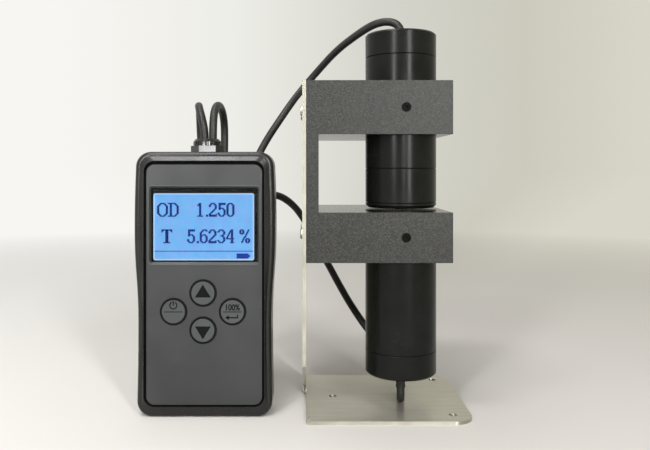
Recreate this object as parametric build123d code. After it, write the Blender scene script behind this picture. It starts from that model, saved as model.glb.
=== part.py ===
from build123d import *
import math
import os

# Bench optical density meter: a hand meter and a stand with two facing heads.
# Millimetres, +Z up, +X to the right and +Y away from the viewer.
# The origin is on the floor, at the middle of the meter and stand together.

# Fits
RUN_FIT = 0.05
SEAT_GAP = 0.1
SLIDE_GAP = 0.3
THREAD_GAP = 0.03
NEAR = 0.01

# Stand plate
SHEET = 2.0
BASE_LENGTH = 91.5
BASE_DEPTH = 84.5
BASE_CORNER_R = 11.0
BASE_NEAR_CORNER_R = 2.0
BEND_INNER_R = 1.0
WALL_HEIGHT = 185.7
WALL_CUT_HEIGHT = 31.4
WALL_CUT_DEPTH = 53.0
WALL_CUT_LIP = 4.6
BASE_HOLE_D = 4.5
BASE_HOLE_NEAR_WALL = 16.0
BASE_HOLE_FROM_EDGE = 10.3
BASE_HOLE_SPACING = 64.0

# Bracket that carries the two heads
BRACKET_LENGTH = 79.2
UPPER_ARM = 29.1
BRACKET_WINDOW = 42.2
LOWER_ARM = 27.2
BRACKET_LEG = 6.8
BRACKET_FOOT_R = 1.6
BRACKET_EDGE_R = 0.5

# Bracket screws
SCREW_R = 1.5
SCREW_HEAD_R = 2.9
SCREW_HEAD = 1.3
SCREW_HEAD_ROUND = 0.8
SCREW_SLOT = 0.7
SCREW_LENGTH = 9.0
SCREW_SPACING = 38.5

# Heads
HEAD_R = 20.0
HEAD_FROM_WALL = 54.0
HEAD_FROM_FRONT = 23.0
HEAD_BORE = 17.5
CAP_HEIGHT = 13.5
CAP_SPIGOT = 5.0
SPIGOT_WALL = 2.2
CAP_CHAMFER = 1.0
SEAM_CHAMFER = 0.35
MEASURING_GAP = 1.0

# Receiver head, above the gap
RECEIVER_LENGTH = 98.2
RING_HEIGHT = 2.9
RING_CHAMFER = 1.6
NOSE_HEIGHT = 19.1
NOSE_SPIGOT = 5.0
APERTURE_R = 4.0
GLASS_R = 6.9
GLASS = 1.5
FILTER_R = 6.0
FILTER = 3.0
FILTER_SEAT = 6.0
DIODE_R = 4.6
DIODE_HEIGHT = 5.2
DIODE_FLANGE = 0.8
BOARD = 1.6
BUSH_R = 3.2
BUSH_HEIGHT = 5.4

# Source head, below the gap
STAGE_PROUD = 0.8
STAGE = 3.0
STAGE_APERTURE_R = 3.0
SOURCE_CLEARANCE = 20.3
DIFFUSER = 1.5
BARREL_END = 8.2
LENS_R = 10.0
LENS_RIM = 2.0
LENS_CAP_R = 6.8
LENS_CAP = 2.0
LENS_TUBE = 36.0
LENS_TUBE_BORE = 8.0
LED_R = 2.5
LED_HEIGHT = 5.0
LED_DOME = 2.0
SLEEVE_R = 2.7
SLEEVE_OUT = 9.0
SLEEVE_IN = 8.0

# Clamp screws
CLAMP_R = 2.5
CLAMP_LENGTH = 2.0
CLAMP_TIP_GAP = 0.3
CLAMP_KEY_AF = 2.5
CLAMP_KEY_DEPTH = 1.2

# Meter case
METER_HEIGHT = 147.5
METER_DEPTH = 26.0
METER_GAP = 15.2
METER_FROM_FRONT = 10.0
CASE_TOP_HALF = 38.0
CASE_CREST_HALF = 39.2
CASE_CREST_Z = 104.0
CASE_WAIST_HALF = 37.1
CASE_WAIST_Z = 52.0
CASE_FOOT_HALF = 37.9
CASE_CORNER_R = 8.5
SHOULDER_R = 2.6
CASE_REAR_R = 3.5
CASE_WALL = 2.2
CASE_FRONT_WALL = 4.0
CASE_REAR_WALL = 3.0
FRONT_SHELL_DEPTH = 13.0
PARTING_CHAMFER = 0.25
BEZEL_INSET = 2.7
BEZEL_RISE = 1.4
BEZEL_LAND = 0.25

# Front panel
PANEL_WIDTH = 64.0
PANEL_HEIGHT = 133.0
PANEL_BOTTOM = 7.3
PANEL_R = 4.5
PANEL = 2.0
PANEL_RECESS = 0.9
GROOVE_SIDE = 1.4
GROOVE_TOP = 2.0
GROOVE_BOTTOM = 1.0
PANEL_LEDGE = 2.0

# Display
DISPLAY_WIDTH = 59.2
DISPLAY_HEIGHT = 41.2
DISPLAY_BOTTOM = 86.2
DISPLAY_CORNER_R = 1.4
DISPLAY_BEVEL = 0.8
LENS_LAP = 1.0
DISPLAY_LENS = 1.2
LCD = 2.2
LCD_MARGIN = 0.6
BACKLIGHT = 2.4

# Keys
KEY_R = 6.4
KEY_PROUD = 0.95
KEY_TRAVEL = 0.9
KEY_EDGE_R = 0.35
KEY_RISE = 10.3
KEY_REACH = 16.3
KEY_CENTRE_Z = 58.9
KEYPAD_SHIFT = -0.6
COLLAR_WALL = 1.1
COLLAR_PROUD = 0.5
MAT = 1.6
MAT_HEIGHT = 46.0
PILL_R = 3.0

# Inside the meter
MAIN_BOARD_WIDTH = 57.0
MAIN_BOARD_HEIGHT = 126.0
MAIN_BOARD_BOTTOM = 10.0
BOSS_R = 2.8
BOSS_REACH = 32.8
BOSS_LOW_Z = 9.7
BOSS_HIGH_Z = 137.8
CASE_SCREW_R = 1.25
CASE_SCREW_HEAD_R = 2.0
CASE_SCREW_HEAD = 1.6
CASE_SCREW_LENGTH = 19.0
CASE_SCREW_SINK = 0.5
CASE_SCREW_SLOT = 0.6
CASE_SCREW_SLOT_REACH = 2.4

# Batteries and their cover
BATTERY_R = 5.25
BATTERY_LENGTH = 44.5
BATTERY_TIP_R = 1.9
BATTERY_TIP = 1.0
BATTERY_EDGE_R = 0.5
BATTERY_PITCH = 11.0
BATTERY_COUNT = 4
BATTERY_BOTTOM = 22.0
BAY_WALL = 1.1
DOOR_WIDTH = 50.0
DOOR_HEIGHT = 56.0
DOOR_BOTTOM = 17.0
DOOR = 1.8
DOOR_TRAVEL = 8.0
DOOR_TONGUE = 0.7
THUMB_GROOVES = 4
THUMB_WIDTH = 18.0
THUMB_FROM_TOP = 8.0
THUMB_PITCH = 2.4
THUMB_GROOVE = 1.2
THUMB_DEPTH = 0.6

# Cable gland on the meter
GLAND_HEX = 16.0
GLAND_TURN = 8.0
GLAND_COLLAR = 3.5
GLAND_SHANK_R = 6.6
GLAND_SHANK = 7.5
GLAND_NUT_R = 7.85
GLAND_NUT_TOP_R = 6.6
GLAND_NUT = 4.0
GLAND_NUT_SHOULDER = 2.4
SEAL_R = 5.6
SEAL_HEIGHT = 9.0
LOCKNUT = 2.2
LOCKNUT_AF = 17.0

# Leads
LEAD_D = 4.6
BEND_SHARE = 0.45

# Places worked out from the sizes
TOTAL_WIDTH = 2 * CASE_CREST_HALF + METER_GAP + SHEET + BASE_LENGTH
METER_X = CASE_CREST_HALF - TOTAL_WIDTH / 2
WALL_X = TOTAL_WIDTH / 2 - BASE_LENGTH
FRONT_Y = -BASE_DEPTH / 2
REAR_Y = BASE_DEPTH / 2
HEAD_X = WALL_X + HEAD_FROM_WALL
HEAD_Y = FRONT_Y + HEAD_FROM_FRONT
BRACKET_TOP = WALL_HEIGHT
WINDOW_TOP = BRACKET_TOP - UPPER_ARM
WINDOW_BOTTOM = WINDOW_TOP - BRACKET_WINDOW
BRACKET_BOTTOM = WINDOW_BOTTOM - LOWER_ARM
BRACKET_END = WALL_X + BRACKET_LENGTH
UPPER_ARM_Z = (BRACKET_TOP + WINDOW_TOP) / 2
LOWER_ARM_Z = (WINDOW_BOTTOM + BRACKET_BOTTOM) / 2

METER_FRONT = FRONT_Y + METER_FROM_FRONT
METER_REAR = METER_FRONT + METER_DEPTH
SPLIT_Y = METER_FRONT + FRONT_SHELL_DEPTH
PANEL_Y = METER_FRONT + PANEL_RECESS
PANEL_BACK = PANEL_Y + PANEL
PANEL_Z = PANEL_BOTTOM + PANEL_HEIGHT / 2
LCD_Y = PANEL_BACK + DISPLAY_LENS
BACKLIGHT_Y = LCD_Y + LCD
MAIN_BOARD_Y = BACKLIGHT_Y + BACKLIGHT
KEY_SPOTS = {
    "up": (0, KEY_RISE),
    "down": (0, -KEY_RISE),
    "power": (-KEY_REACH, 0),
    "hundred": (KEY_REACH, 0),
}
KEYPAD_X = METER_X + KEYPAD_SHIFT
COLLAR_BORE = KEY_R + RUN_FIT
COLLAR_R = COLLAR_BORE + COLLAR_WALL

STAGE_TOP = WINDOW_BOTTOM + STAGE_PROUD
RECEIVER_BOTTOM = STAGE_TOP + MEASURING_GAP
RECEIVER_TOP = RECEIVER_BOTTOM + RECEIVER_LENGTH
NOSE_BOTTOM = RECEIVER_BOTTOM + RING_HEIGHT
NOSE_TOP = NOSE_BOTTOM + NOSE_HEIGHT
RECEIVER_CAP_Z = RECEIVER_TOP - CAP_HEIGHT
SOURCE_BOTTOM = SHEET + SOURCE_CLEARANCE
SOURCE_CAP_TOP = SOURCE_BOTTOM + CAP_HEIGHT
BARREL_TOP = STAGE_TOP - STAGE
LENS_TOP = BARREL_TOP - BARREL_END
LENS_BOTTOM = LENS_TOP - LENS_RIM
LED_BOARD_TOP = LENS_BOTTOM - LENS_TUBE
SPIGOT_R = HEAD_BORE - SEAT_GAP
GLAND_TOP = METER_HEIGHT + GLAND_COLLAR + GLAND_NUT
GLAND_Y = SPLIT_Y

# Routes of the two leads, chosen by hand, from the gland to the heads
RECEIVER_LEAD_ROUTE = [
    (-55.8, -19.25, 155.0), (-55.8, -19.25, 159.4), (-57.6, -18.8, 167.3), (-60.7, -11.0, 175.2),
    (-61.95, 1.2, 175.0), (-62.95, 9.8, 166.4), (-62.35, 11.4, 148.0), (-61.35, 12.2, 118.0),
    (-60.75, 13.0, 80.0), (-61.15, 13.2, 50.0), (-60.55, 13.4, 30.0), (-60.95, 13.6, 11.4),
    (-52.35, 14.0, 2.5), (-40.15, 14.2, 2.4), (-31.45, 14.0, 11.2), (-31.2, 13.6, 32.0),
    (-33.0, 14.2, 64.0), (-35.2, 15.0, 96.0), (-35.0, 16.2, 122.0), (-29.0, 18.4, 146.6),
    (-8.9, 27.4, 178.0), (-0.6, 42.0, 190.6), (10.2, 38.0, 202.6), (21.3, 20.0, 212.6),
    (33.0, 0.8, 218.8), (40.56, -10.84, 221.8), (46.2, -13.9, 223.0), (50.42, -16.19, 222.6),
    (53.41, -17.82, 221.2), (55.17, -18.77, 219.3), (56.05, -19.25, 217.0), (56.05, -19.25, 214.4),
]
SOURCE_LEAD_ROUTE = [
    (-51.1, -19.25, 155.0), (-51.1, -19.25, 166.8), (-50.4, -10.9, 175.4), (-48.95, 1.4, 175.4),
    (-47.95, 10.0, 166.8), (-47.95, 10.4, 150.0), (-48.35, 6.6, 124.0), (-48.95, 4.2, 88.0),
    (-48.75, 3.6, 56.0), (-49.35, 3.4, 32.0), (-49.15, 3.6, 11.4), (-40.45, 3.6, 2.5),
    (-30.3, 3.4, 2.4), (-21.6, 3.8, 11.2), (-21.6, 4.2, 32.0), (-22.6, 3.8, 58.0),
    (-24.6, 3.9, 82.0), (-26.2, 4.6, 100.0), (-26.0, 8.2, 113.5), (-22.4, 14.4, 121.6),
    (-15.6, 22.4, 121.6), (-8.4, 31.6, 116.8), (-2.4, 45.6, 109.4), (4.0, 52.0, 98.6),
    (9.8, 52.8, 86.4), (17.2, 50.2, 73.6), (24.6, 44.0, 60.2), (31.8, 35.2, 48.6),
    (40.0, 27.0, 37.4), (49.2, 20.4, 26.8), (56.8, 14.6, 17.2), (60.0, 8.6, 9.4),
    (58.9, 1.0, 5.6), (57.7, -7.5, 4.6), (56.9, -12.7, 4.6), (56.5, -15.7, 5.8),
    (56.2, -18.0, 8.1), (56.05, -19.25, 11.0), (56.05, -19.25, 13.3),
]


def block(x0, x1, y0, y1, z0, z1):
    """A box between two corners."""
    centre = Pos((x0 + x1) / 2, (y0 + y1) / 2, (z0 + z1) / 2)
    return centre * Box(x1 - x0, y1 - y0, z1 - z0)


def rod_z(radius, x, y, z0, z1):
    """A round bar along Z."""
    return Pos(x, y, (z0 + z1) / 2) * Cylinder(radius, z1 - z0)


def rod_y(radius, x, z, y0, y1):
    """A round bar along Y."""
    return Pos(x, (y0 + y1) / 2, z) * Rot(90, 0, 0) * Cylinder(radius, y1 - y0)


def rod_x(radius, y, z, x0, x1):
    """A round bar along X."""
    return Pos((x0 + x1) / 2, y, z) * Rot(0, 90, 0) * Cylinder(radius, x1 - x0)


def hex_bar(across, depth):
    """A six-sided bar that stands on the XY plane."""
    return extrude(RegularPolygon(across / 2, 6, major_radius=False), depth)


def turned(points, x, y):
    """A solid turned about a vertical axis from (radius, height) points."""
    outline = Plane.XZ * make_face(Polyline(*points, close=True))
    return Pos(x, y, 0) * revolve(outline, Axis.Z)


def raised(outline, y0, y1):
    """An outline drawn in X and Z, given thickness from y0 to y1."""
    return extrude(Plane.XZ.offset(-y1) * outline, y1 - y0)


def edges_at(solid, axis, place):
    """The edges that lie whole in the plane at a place along an axis."""
    return solid.edges().filter_by_position(axis, place - NEAR, place + NEAR)


def sagged(start, end):
    """An arc that leaves its start upright and ends at a point beside it."""
    dx = end[0] - start[0]
    dz = end[1] - start[1]
    radius = (dx * dx + dz * dz) / (2 * abs(dx))
    bow = radius - math.sqrt(radius * radius - dz * dz / 4)
    middle = (start[0] + math.copysign(bow, dx), start[1] + dz / 2)
    return ThreePointArc(start, middle, end)


# Stand

def make_stand_plate():
    """One sheet bent to a wall and a base, its wall cut back at the foot."""
    outer_r = BEND_INNER_R + SHEET
    corner = (WALL_X - SHEET + outer_r, outer_r)
    inner = corner[0] - BEND_INNER_R / math.sqrt(2), corner[1] - BEND_INNER_R / math.sqrt(2)
    outer = corner[0] - outer_r / math.sqrt(2), corner[1] - outer_r / math.sqrt(2)
    base_end = WALL_X + BASE_LENGTH
    section = make_face([
        Line((WALL_X - SHEET, WALL_HEIGHT), (WALL_X - SHEET, corner[1])),
        ThreePointArc((WALL_X - SHEET, corner[1]), outer, (corner[0], 0)),
        Line((corner[0], 0), (base_end, 0)),
        Line((base_end, 0), (base_end, SHEET)),
        Line((base_end, SHEET), (corner[0], SHEET)),
        ThreePointArc((corner[0], SHEET), inner, (WALL_X, corner[1])),
        Line((WALL_X, corner[1]), (WALL_X, WALL_HEIGHT)),
        Line((WALL_X, WALL_HEIGHT), (WALL_X - SHEET, WALL_HEIGHT)),
    ])
    plate = raised(section, FRONT_Y, REAR_Y)
    neck_y = FRONT_Y + WALL_CUT_DEPTH
    cut_face = Plane.YZ * make_face(Polyline(
        (FRONT_Y, 0), (FRONT_Y, WALL_CUT_HEIGHT), (neck_y, WALL_CUT_LIP), (neck_y, 0), close=True))
    plate -= Pos(WALL_X - SHEET, 0, 0) * extrude(cut_face, SHEET)
    plate -= block(WALL_X, corner[0], FRONT_Y, neck_y, SHEET, WALL_CUT_LIP)
    for y in (FRONT_Y, REAR_Y):
        far_corner = edges_at(plate, Axis.Y, y).filter_by(Axis.Z)
        plate = fillet(far_corner.sort_by(Axis.X)[-1], BASE_CORNER_R)
    near_corner = edges_at(plate, Axis.Y, FRONT_Y).filter_by(Axis.Z)
    near_corner = near_corner.filter_by_position(Axis.Z, 0, SHEET)
    plate = fillet(near_corner.sort_by(Axis.X)[0], BASE_NEAR_CORNER_R)
    for x, y in base_holes():
        plate -= rod_z(BASE_HOLE_D / 2, x, y, 0, SHEET)
    for y, z in bracket_screw_spots():
        plate -= rod_x(SCREW_R + SEAT_GAP, y, z, WALL_X - SHEET, WALL_X)
    return plate


def base_holes():
    """Places of the three holes in the base."""
    far_x = WALL_X + BASE_LENGTH - BASE_HOLE_FROM_EDGE
    return [
        (WALL_X + BASE_HOLE_NEAR_WALL, 0),
        (far_x, -BASE_HOLE_SPACING / 2),
        (far_x, BASE_HOLE_SPACING / 2),
    ]


def bracket_screw_spots():
    """Two screws for each arm, at the head's depth and behind it."""
    depths = (HEAD_Y, HEAD_Y + SCREW_SPACING)
    return [(y, z) for z in (UPPER_ARM_Z, LOWER_ARM_Z) for y in depths]


def make_head_bracket():
    """The C-shaped block, bored through both arms for the heads."""
    bracket = block(WALL_X, BRACKET_END, FRONT_Y, REAR_Y, BRACKET_BOTTOM, BRACKET_TOP)
    bracket -= block(WALL_X + BRACKET_LEG, BRACKET_END, FRONT_Y, REAR_Y, WINDOW_BOTTOM, WINDOW_TOP)
    foot = bracket.edges().filter_by(Axis.Y).group_by(Axis.Z)[0].sort_by(Axis.X)[0]
    bracket = fillet(foot, BRACKET_FOOT_R)
    for y in (FRONT_Y, REAR_Y):
        bracket = fillet(edges_at(bracket, Axis.Y, y), BRACKET_EDGE_R)
    bracket -= rod_z(HEAD_R + RUN_FIT, HEAD_X, HEAD_Y, BRACKET_BOTTOM, BRACKET_TOP)
    for z in (UPPER_ARM_Z, LOWER_ARM_Z):
        bracket -= rod_y(CLAMP_R + RUN_FIT, HEAD_X, z, FRONT_Y, HEAD_Y)
    for y, z in bracket_screw_spots():
        bracket -= rod_x(SCREW_R + THREAD_GAP, y, z, WALL_X, WALL_X - SHEET + SCREW_LENGTH)
    return bracket


def make_bracket_screw(y, z):
    """A pan-head screw through the wall, with a crossed slot."""
    seat = WALL_X - SHEET
    head = rod_x(SCREW_HEAD_R, y, z, seat - SCREW_HEAD, seat)
    head = fillet(edges_at(head, Axis.X, seat - SCREW_HEAD), SCREW_HEAD_ROUND)
    for size_y, size_z in ((SCREW_HEAD_R, SCREW_SLOT), (SCREW_SLOT, SCREW_HEAD_R)):
        head -= Pos(seat - SCREW_HEAD, y, z) * Box(SCREW_HEAD, size_y, size_z)
    return head + rod_x(SCREW_R, y, z, seat, seat + SCREW_LENGTH)


def make_clamp_screw(z):
    """A grub screw in the front of an arm, with a hexagon socket."""
    tip = HEAD_Y - HEAD_R - CLAMP_TIP_GAP
    screw = rod_y(CLAMP_R, HEAD_X, z, tip - CLAMP_LENGTH, tip)
    socket = Rot(-90, 0, 0) * hex_bar(CLAMP_KEY_AF, CLAMP_KEY_DEPTH)
    return screw - Pos(HEAD_X, tip - CLAMP_LENGTH, z) * socket


# Heads

def make_cap(z_seam, z_end, hole_r):
    """A head's end cap, chamfered, with a spigot inside the barrel."""
    way = math.copysign(1, z_end - z_seam)
    cap = turned([
        (hole_r, z_end), (HEAD_R - CAP_CHAMFER, z_end), (HEAD_R, z_end - way * CAP_CHAMFER),
        (HEAD_R, z_seam + way * SEAM_CHAMFER), (HEAD_R - SEAM_CHAMFER, z_seam),
        (SPIGOT_R, z_seam), (SPIGOT_R, z_seam - way * CAP_SPIGOT),
        (SPIGOT_R - SPIGOT_WALL, z_seam - way * CAP_SPIGOT), (SPIGOT_R - SPIGOT_WALL, z_seam),
        (hole_r, z_seam),
    ], HEAD_X, HEAD_Y)
    return cap


def make_receiver_barrel():
    """The receiver head's tube, chamfered at both seams."""
    return turned([
        (HEAD_BORE, NOSE_TOP), (HEAD_R - SEAM_CHAMFER, NOSE_TOP), (HEAD_R, NOSE_TOP + SEAM_CHAMFER),
        (HEAD_R, RECEIVER_CAP_Z - SEAM_CHAMFER), (HEAD_R - SEAM_CHAMFER, RECEIVER_CAP_Z),
        (HEAD_BORE, RECEIVER_CAP_Z),
    ], HEAD_X, HEAD_Y)


def make_receiver_nose():
    """The nose that holds the filter, with a spigot up into the barrel."""
    filter_z = NOSE_BOTTOM + FILTER_SEAT
    pocket_r = FILTER_R + SEAT_GAP
    return turned([
        (APERTURE_R, NOSE_BOTTOM), (HEAD_R - SEAM_CHAMFER, NOSE_BOTTOM),
        (HEAD_R, NOSE_BOTTOM + SEAM_CHAMFER), (HEAD_R, NOSE_TOP - SEAM_CHAMFER),
        (HEAD_R - SEAM_CHAMFER, NOSE_TOP), (SPIGOT_R, NOSE_TOP), (SPIGOT_R, NOSE_TOP + NOSE_SPIGOT),
        (pocket_r, NOSE_TOP + NOSE_SPIGOT), (pocket_r, filter_z), (APERTURE_R, filter_z),
    ], HEAD_X, HEAD_Y)


def make_receiver_ring():
    """The end ring, chamfered at its lower edge, with a seat for the glass."""
    seat_r = GLASS_R + SEAT_GAP
    glass_z = NOSE_BOTTOM - GLASS
    return turned([
        (APERTURE_R, RECEIVER_BOTTOM), (HEAD_R - RING_CHAMFER, RECEIVER_BOTTOM),
        (HEAD_R, RECEIVER_BOTTOM + RING_CHAMFER), (HEAD_R, NOSE_BOTTOM - SEAM_CHAMFER),
        (HEAD_R - SEAM_CHAMFER, NOSE_BOTTOM), (seat_r, NOSE_BOTTOM), (seat_r, glass_z),
        (APERTURE_R, glass_z),
    ], HEAD_X, HEAD_Y)


def make_receiver_inside():
    """Glass, filter, photodiode, board and cable bush of the receiver head."""
    board_z = NOSE_TOP + NOSE_SPIGOT
    filter_z = NOSE_BOTTOM + FILTER_SEAT
    flange_z = board_z - DIODE_FLANGE
    diode = rod_z(DIODE_R, HEAD_X, HEAD_Y, flange_z, board_z)
    diode += rod_z(DIODE_R - DIODE_FLANGE, HEAD_X, HEAD_Y, board_z - DIODE_HEIGHT, flange_z)
    return {
        "receiver_window": rod_z(GLASS_R, HEAD_X, HEAD_Y, NOSE_BOTTOM - GLASS, NOSE_BOTTOM),
        "receiver_filter": rod_z(FILTER_R, HEAD_X, HEAD_Y, filter_z, filter_z + FILTER),
        "receiver_photodiode": diode,
        "receiver_board": rod_z(SPIGOT_R, HEAD_X, HEAD_Y, board_z, board_z + BOARD),
        "receiver_bush": rod_z(BUSH_R, HEAD_X, HEAD_Y, RECEIVER_TOP - BUSH_HEIGHT, RECEIVER_TOP),
    }


def make_source_stage():
    """The disc that the sample lies on, with a seat for the diffuser."""
    seat_r = GLASS_R + SEAT_GAP
    seat_z = BARREL_TOP + DIFFUSER
    return turned([
        (STAGE_APERTURE_R, STAGE_TOP), (HEAD_R - SEAM_CHAMFER, STAGE_TOP),
        (HEAD_R, STAGE_TOP - SEAM_CHAMFER), (HEAD_R, BARREL_TOP + SEAM_CHAMFER),
        (HEAD_R - SEAM_CHAMFER, BARREL_TOP), (seat_r, BARREL_TOP), (seat_r, seat_z),
        (STAGE_APERTURE_R, seat_z),
    ], HEAD_X, HEAD_Y)


def make_source_barrel():
    """The source head's tube, closed at the top except for the light's way."""
    light_r = LENS_CAP_R + SEAT_GAP
    return turned([
        (light_r, BARREL_TOP), (HEAD_R - SEAM_CHAMFER, BARREL_TOP),
        (HEAD_R, BARREL_TOP - SEAM_CHAMFER), (HEAD_R, SOURCE_CAP_TOP + SEAM_CHAMFER),
        (HEAD_R - SEAM_CHAMFER, SOURCE_CAP_TOP), (HEAD_BORE, SOURCE_CAP_TOP),
        (HEAD_BORE, LENS_TOP), (light_r, LENS_TOP),
    ], HEAD_X, HEAD_Y)


def make_source_lens():
    """A lens with a flat rim and a domed top."""
    rise = LENS_TOP + LENS_CAP
    dome_r = (LENS_CAP_R ** 2 + LENS_CAP ** 2) / (2 * LENS_CAP)
    half = LENS_CAP_R / 2
    middle = rise - (dome_r - math.sqrt(dome_r ** 2 - half ** 2))
    outline = make_face([
        Line((0, LENS_BOTTOM), (LENS_R, LENS_BOTTOM)),
        Line((LENS_R, LENS_BOTTOM), (LENS_R, LENS_TOP)),
        Line((LENS_R, LENS_TOP), (LENS_CAP_R, LENS_TOP)),
        ThreePointArc((LENS_CAP_R, LENS_TOP), (half, middle), (0, rise)),
        Line((0, rise), (0, LENS_BOTTOM)),
    ])
    return Pos(HEAD_X, HEAD_Y, 0) * revolve(Plane.XZ * outline, Axis.Z)


def make_source_inside():
    """Diffuser, lens tube, lamp, board and cable sleeve of the source head."""
    lamp_top = LED_BOARD_TOP + LED_HEIGHT
    lamp = rod_z(LED_R, HEAD_X, HEAD_Y, LED_BOARD_TOP, lamp_top)
    lamp = fillet(edges_at(lamp, Axis.Z, lamp_top), LED_DOME)
    tube = rod_z(SPIGOT_R, HEAD_X, HEAD_Y, LED_BOARD_TOP, LENS_BOTTOM)
    tube -= rod_z(LENS_TUBE_BORE, HEAD_X, HEAD_Y, LED_BOARD_TOP, LENS_BOTTOM)
    return {
        "source_diffuser": rod_z(GLASS_R, HEAD_X, HEAD_Y, BARREL_TOP, BARREL_TOP + DIFFUSER),
        "source_lens_tube": tube,
        "source_led": lamp,
        "source_board": rod_z(SPIGOT_R, HEAD_X, HEAD_Y, LED_BOARD_TOP - BOARD, LED_BOARD_TOP),
        "source_sleeve": rod_z(
            SLEEVE_R, HEAD_X, HEAD_Y, SOURCE_BOTTOM - SLEEVE_OUT, SOURCE_BOTTOM + SLEEVE_IN),
    }


# Meter

def case_side(way):
    """One side of the case from its top to its foot, waisted at the hand."""
    half_rise = (CASE_CREST_Z + CASE_WAIST_Z) / 2
    half_out = (CASE_CREST_HALF + CASE_WAIST_HALF) / 2
    crest = (way * CASE_CREST_HALF, CASE_CREST_Z)
    waist = (way * CASE_WAIST_HALF, CASE_WAIST_Z)
    turn = (way * half_out, half_rise)
    return [
        sagged(crest, (way * CASE_TOP_HALF, METER_HEIGHT)),
        sagged(crest, turn),
        sagged(waist, turn),
        sagged(waist, (way * CASE_FOOT_HALF, 0)),
    ]


def case_outline():
    """The meter's outline from the front, with rounded corners."""
    top = Line((-CASE_TOP_HALF, METER_HEIGHT), (CASE_TOP_HALF, METER_HEIGHT))
    foot = Line((-CASE_FOOT_HALF, 0), (CASE_FOOT_HALF, 0))
    face = make_face(case_side(1) + case_side(-1) + [top, foot])
    corners = face.vertices().group_by(Axis.Y)
    return fillet(corners[0] + corners[-1], CASE_CORNER_R)


def at_meter(outline):
    """An outline moved to the meter's middle."""
    return Pos(METER_X, 0, 0) * outline


def groove_outline(margin):
    """The outline of the groove round the panel, at the meter, widened by a margin."""
    width = PANEL_WIDTH + 2 * (GROOVE_SIDE + margin)
    height = PANEL_HEIGHT + GROOVE_TOP + GROOVE_BOTTOM + 2 * margin
    middle = PANEL_Z + (GROOVE_TOP - GROOVE_BOTTOM) / 2
    return Pos(METER_X, middle, 0) * RectangleRounded(width, height, PANEL_R + GROOVE_SIDE + margin)


def boss_spots():
    """Places of the four screw bosses."""
    return [(METER_X + side * BOSS_REACH, z) for z in (BOSS_LOW_Z, BOSS_HIGH_Z) for side in (-1, 1)]


def gland_hole():
    """The round way through the top of the case, half in each shell."""
    return rod_z(GLAND_SHANK_R + SEAT_GAP, METER_X, GLAND_Y, METER_HEIGHT - CASE_CORNER_R, METER_HEIGHT)


def make_front_shell():
    """The front half of the case, with a recess and a ledge for the panel."""
    outline = case_outline()
    shoulder = METER_FRONT + BEZEL_RISE
    shell = raised(at_meter(outline), shoulder, SPLIT_Y)
    shell = fillet(edges_at(shell, Axis.Y, shoulder), SHOULDER_R)
    shell = chamfer(edges_at(shell, Axis.Y, SPLIT_Y), PARTING_CHAMFER)
    low = Plane.XZ.offset(-shoulder) * at_meter(offset(outline, -BEZEL_INSET))
    high = Plane.XZ.offset(-METER_FRONT) * groove_outline(BEZEL_LAND)
    shell += loft([low, high], ruled=True)
    inside = offset(outline, -CASE_WALL)
    front_inner = METER_FRONT + CASE_FRONT_WALL
    shell -= raised(at_meter(inside), front_inner, SPLIT_Y)
    for x, z in boss_spots():
        shell += rod_y(BOSS_R, x, z, front_inner, SPLIT_Y)
    shell -= raised(groove_outline(0), METER_FRONT, PANEL_BACK)
    way = RectangleRounded(
        PANEL_WIDTH - 2 * PANEL_LEDGE, PANEL_HEIGHT - 2 * PANEL_LEDGE, PANEL_R - PANEL_LEDGE / 2)
    shell -= raised(Pos(METER_X, PANEL_Z, 0) * way, PANEL_BACK, front_inner)
    for x, z in boss_spots():
        shell -= rod_y(CASE_SCREW_R + THREAD_GAP, x, z, screw_tip_y() - SEAT_GAP, SPLIT_Y)
    return shell - gland_hole()


def screw_seat_y():
    """Depth at which a case screw's head seats in the rear shell."""
    return METER_REAR - CASE_SCREW_SINK - CASE_SCREW_HEAD


def screw_tip_y():
    """Depth that a case screw's tip reaches."""
    return screw_seat_y() - CASE_SCREW_LENGTH


def bay_limits():
    """The battery bay's inside, as low and high X, Y and Z."""
    half = BATTERY_COUNT * BATTERY_PITCH / 2 + SEAT_GAP
    rear = METER_REAR - CASE_REAR_WALL
    low_y = rear - 2 * BATTERY_R - 2 * SLIDE_GAP
    top = BATTERY_BOTTOM + BATTERY_LENGTH + SEAT_GAP
    return METER_X - half, METER_X + half, low_y, rear, BATTERY_BOTTOM - SEAT_GAP, top


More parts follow.
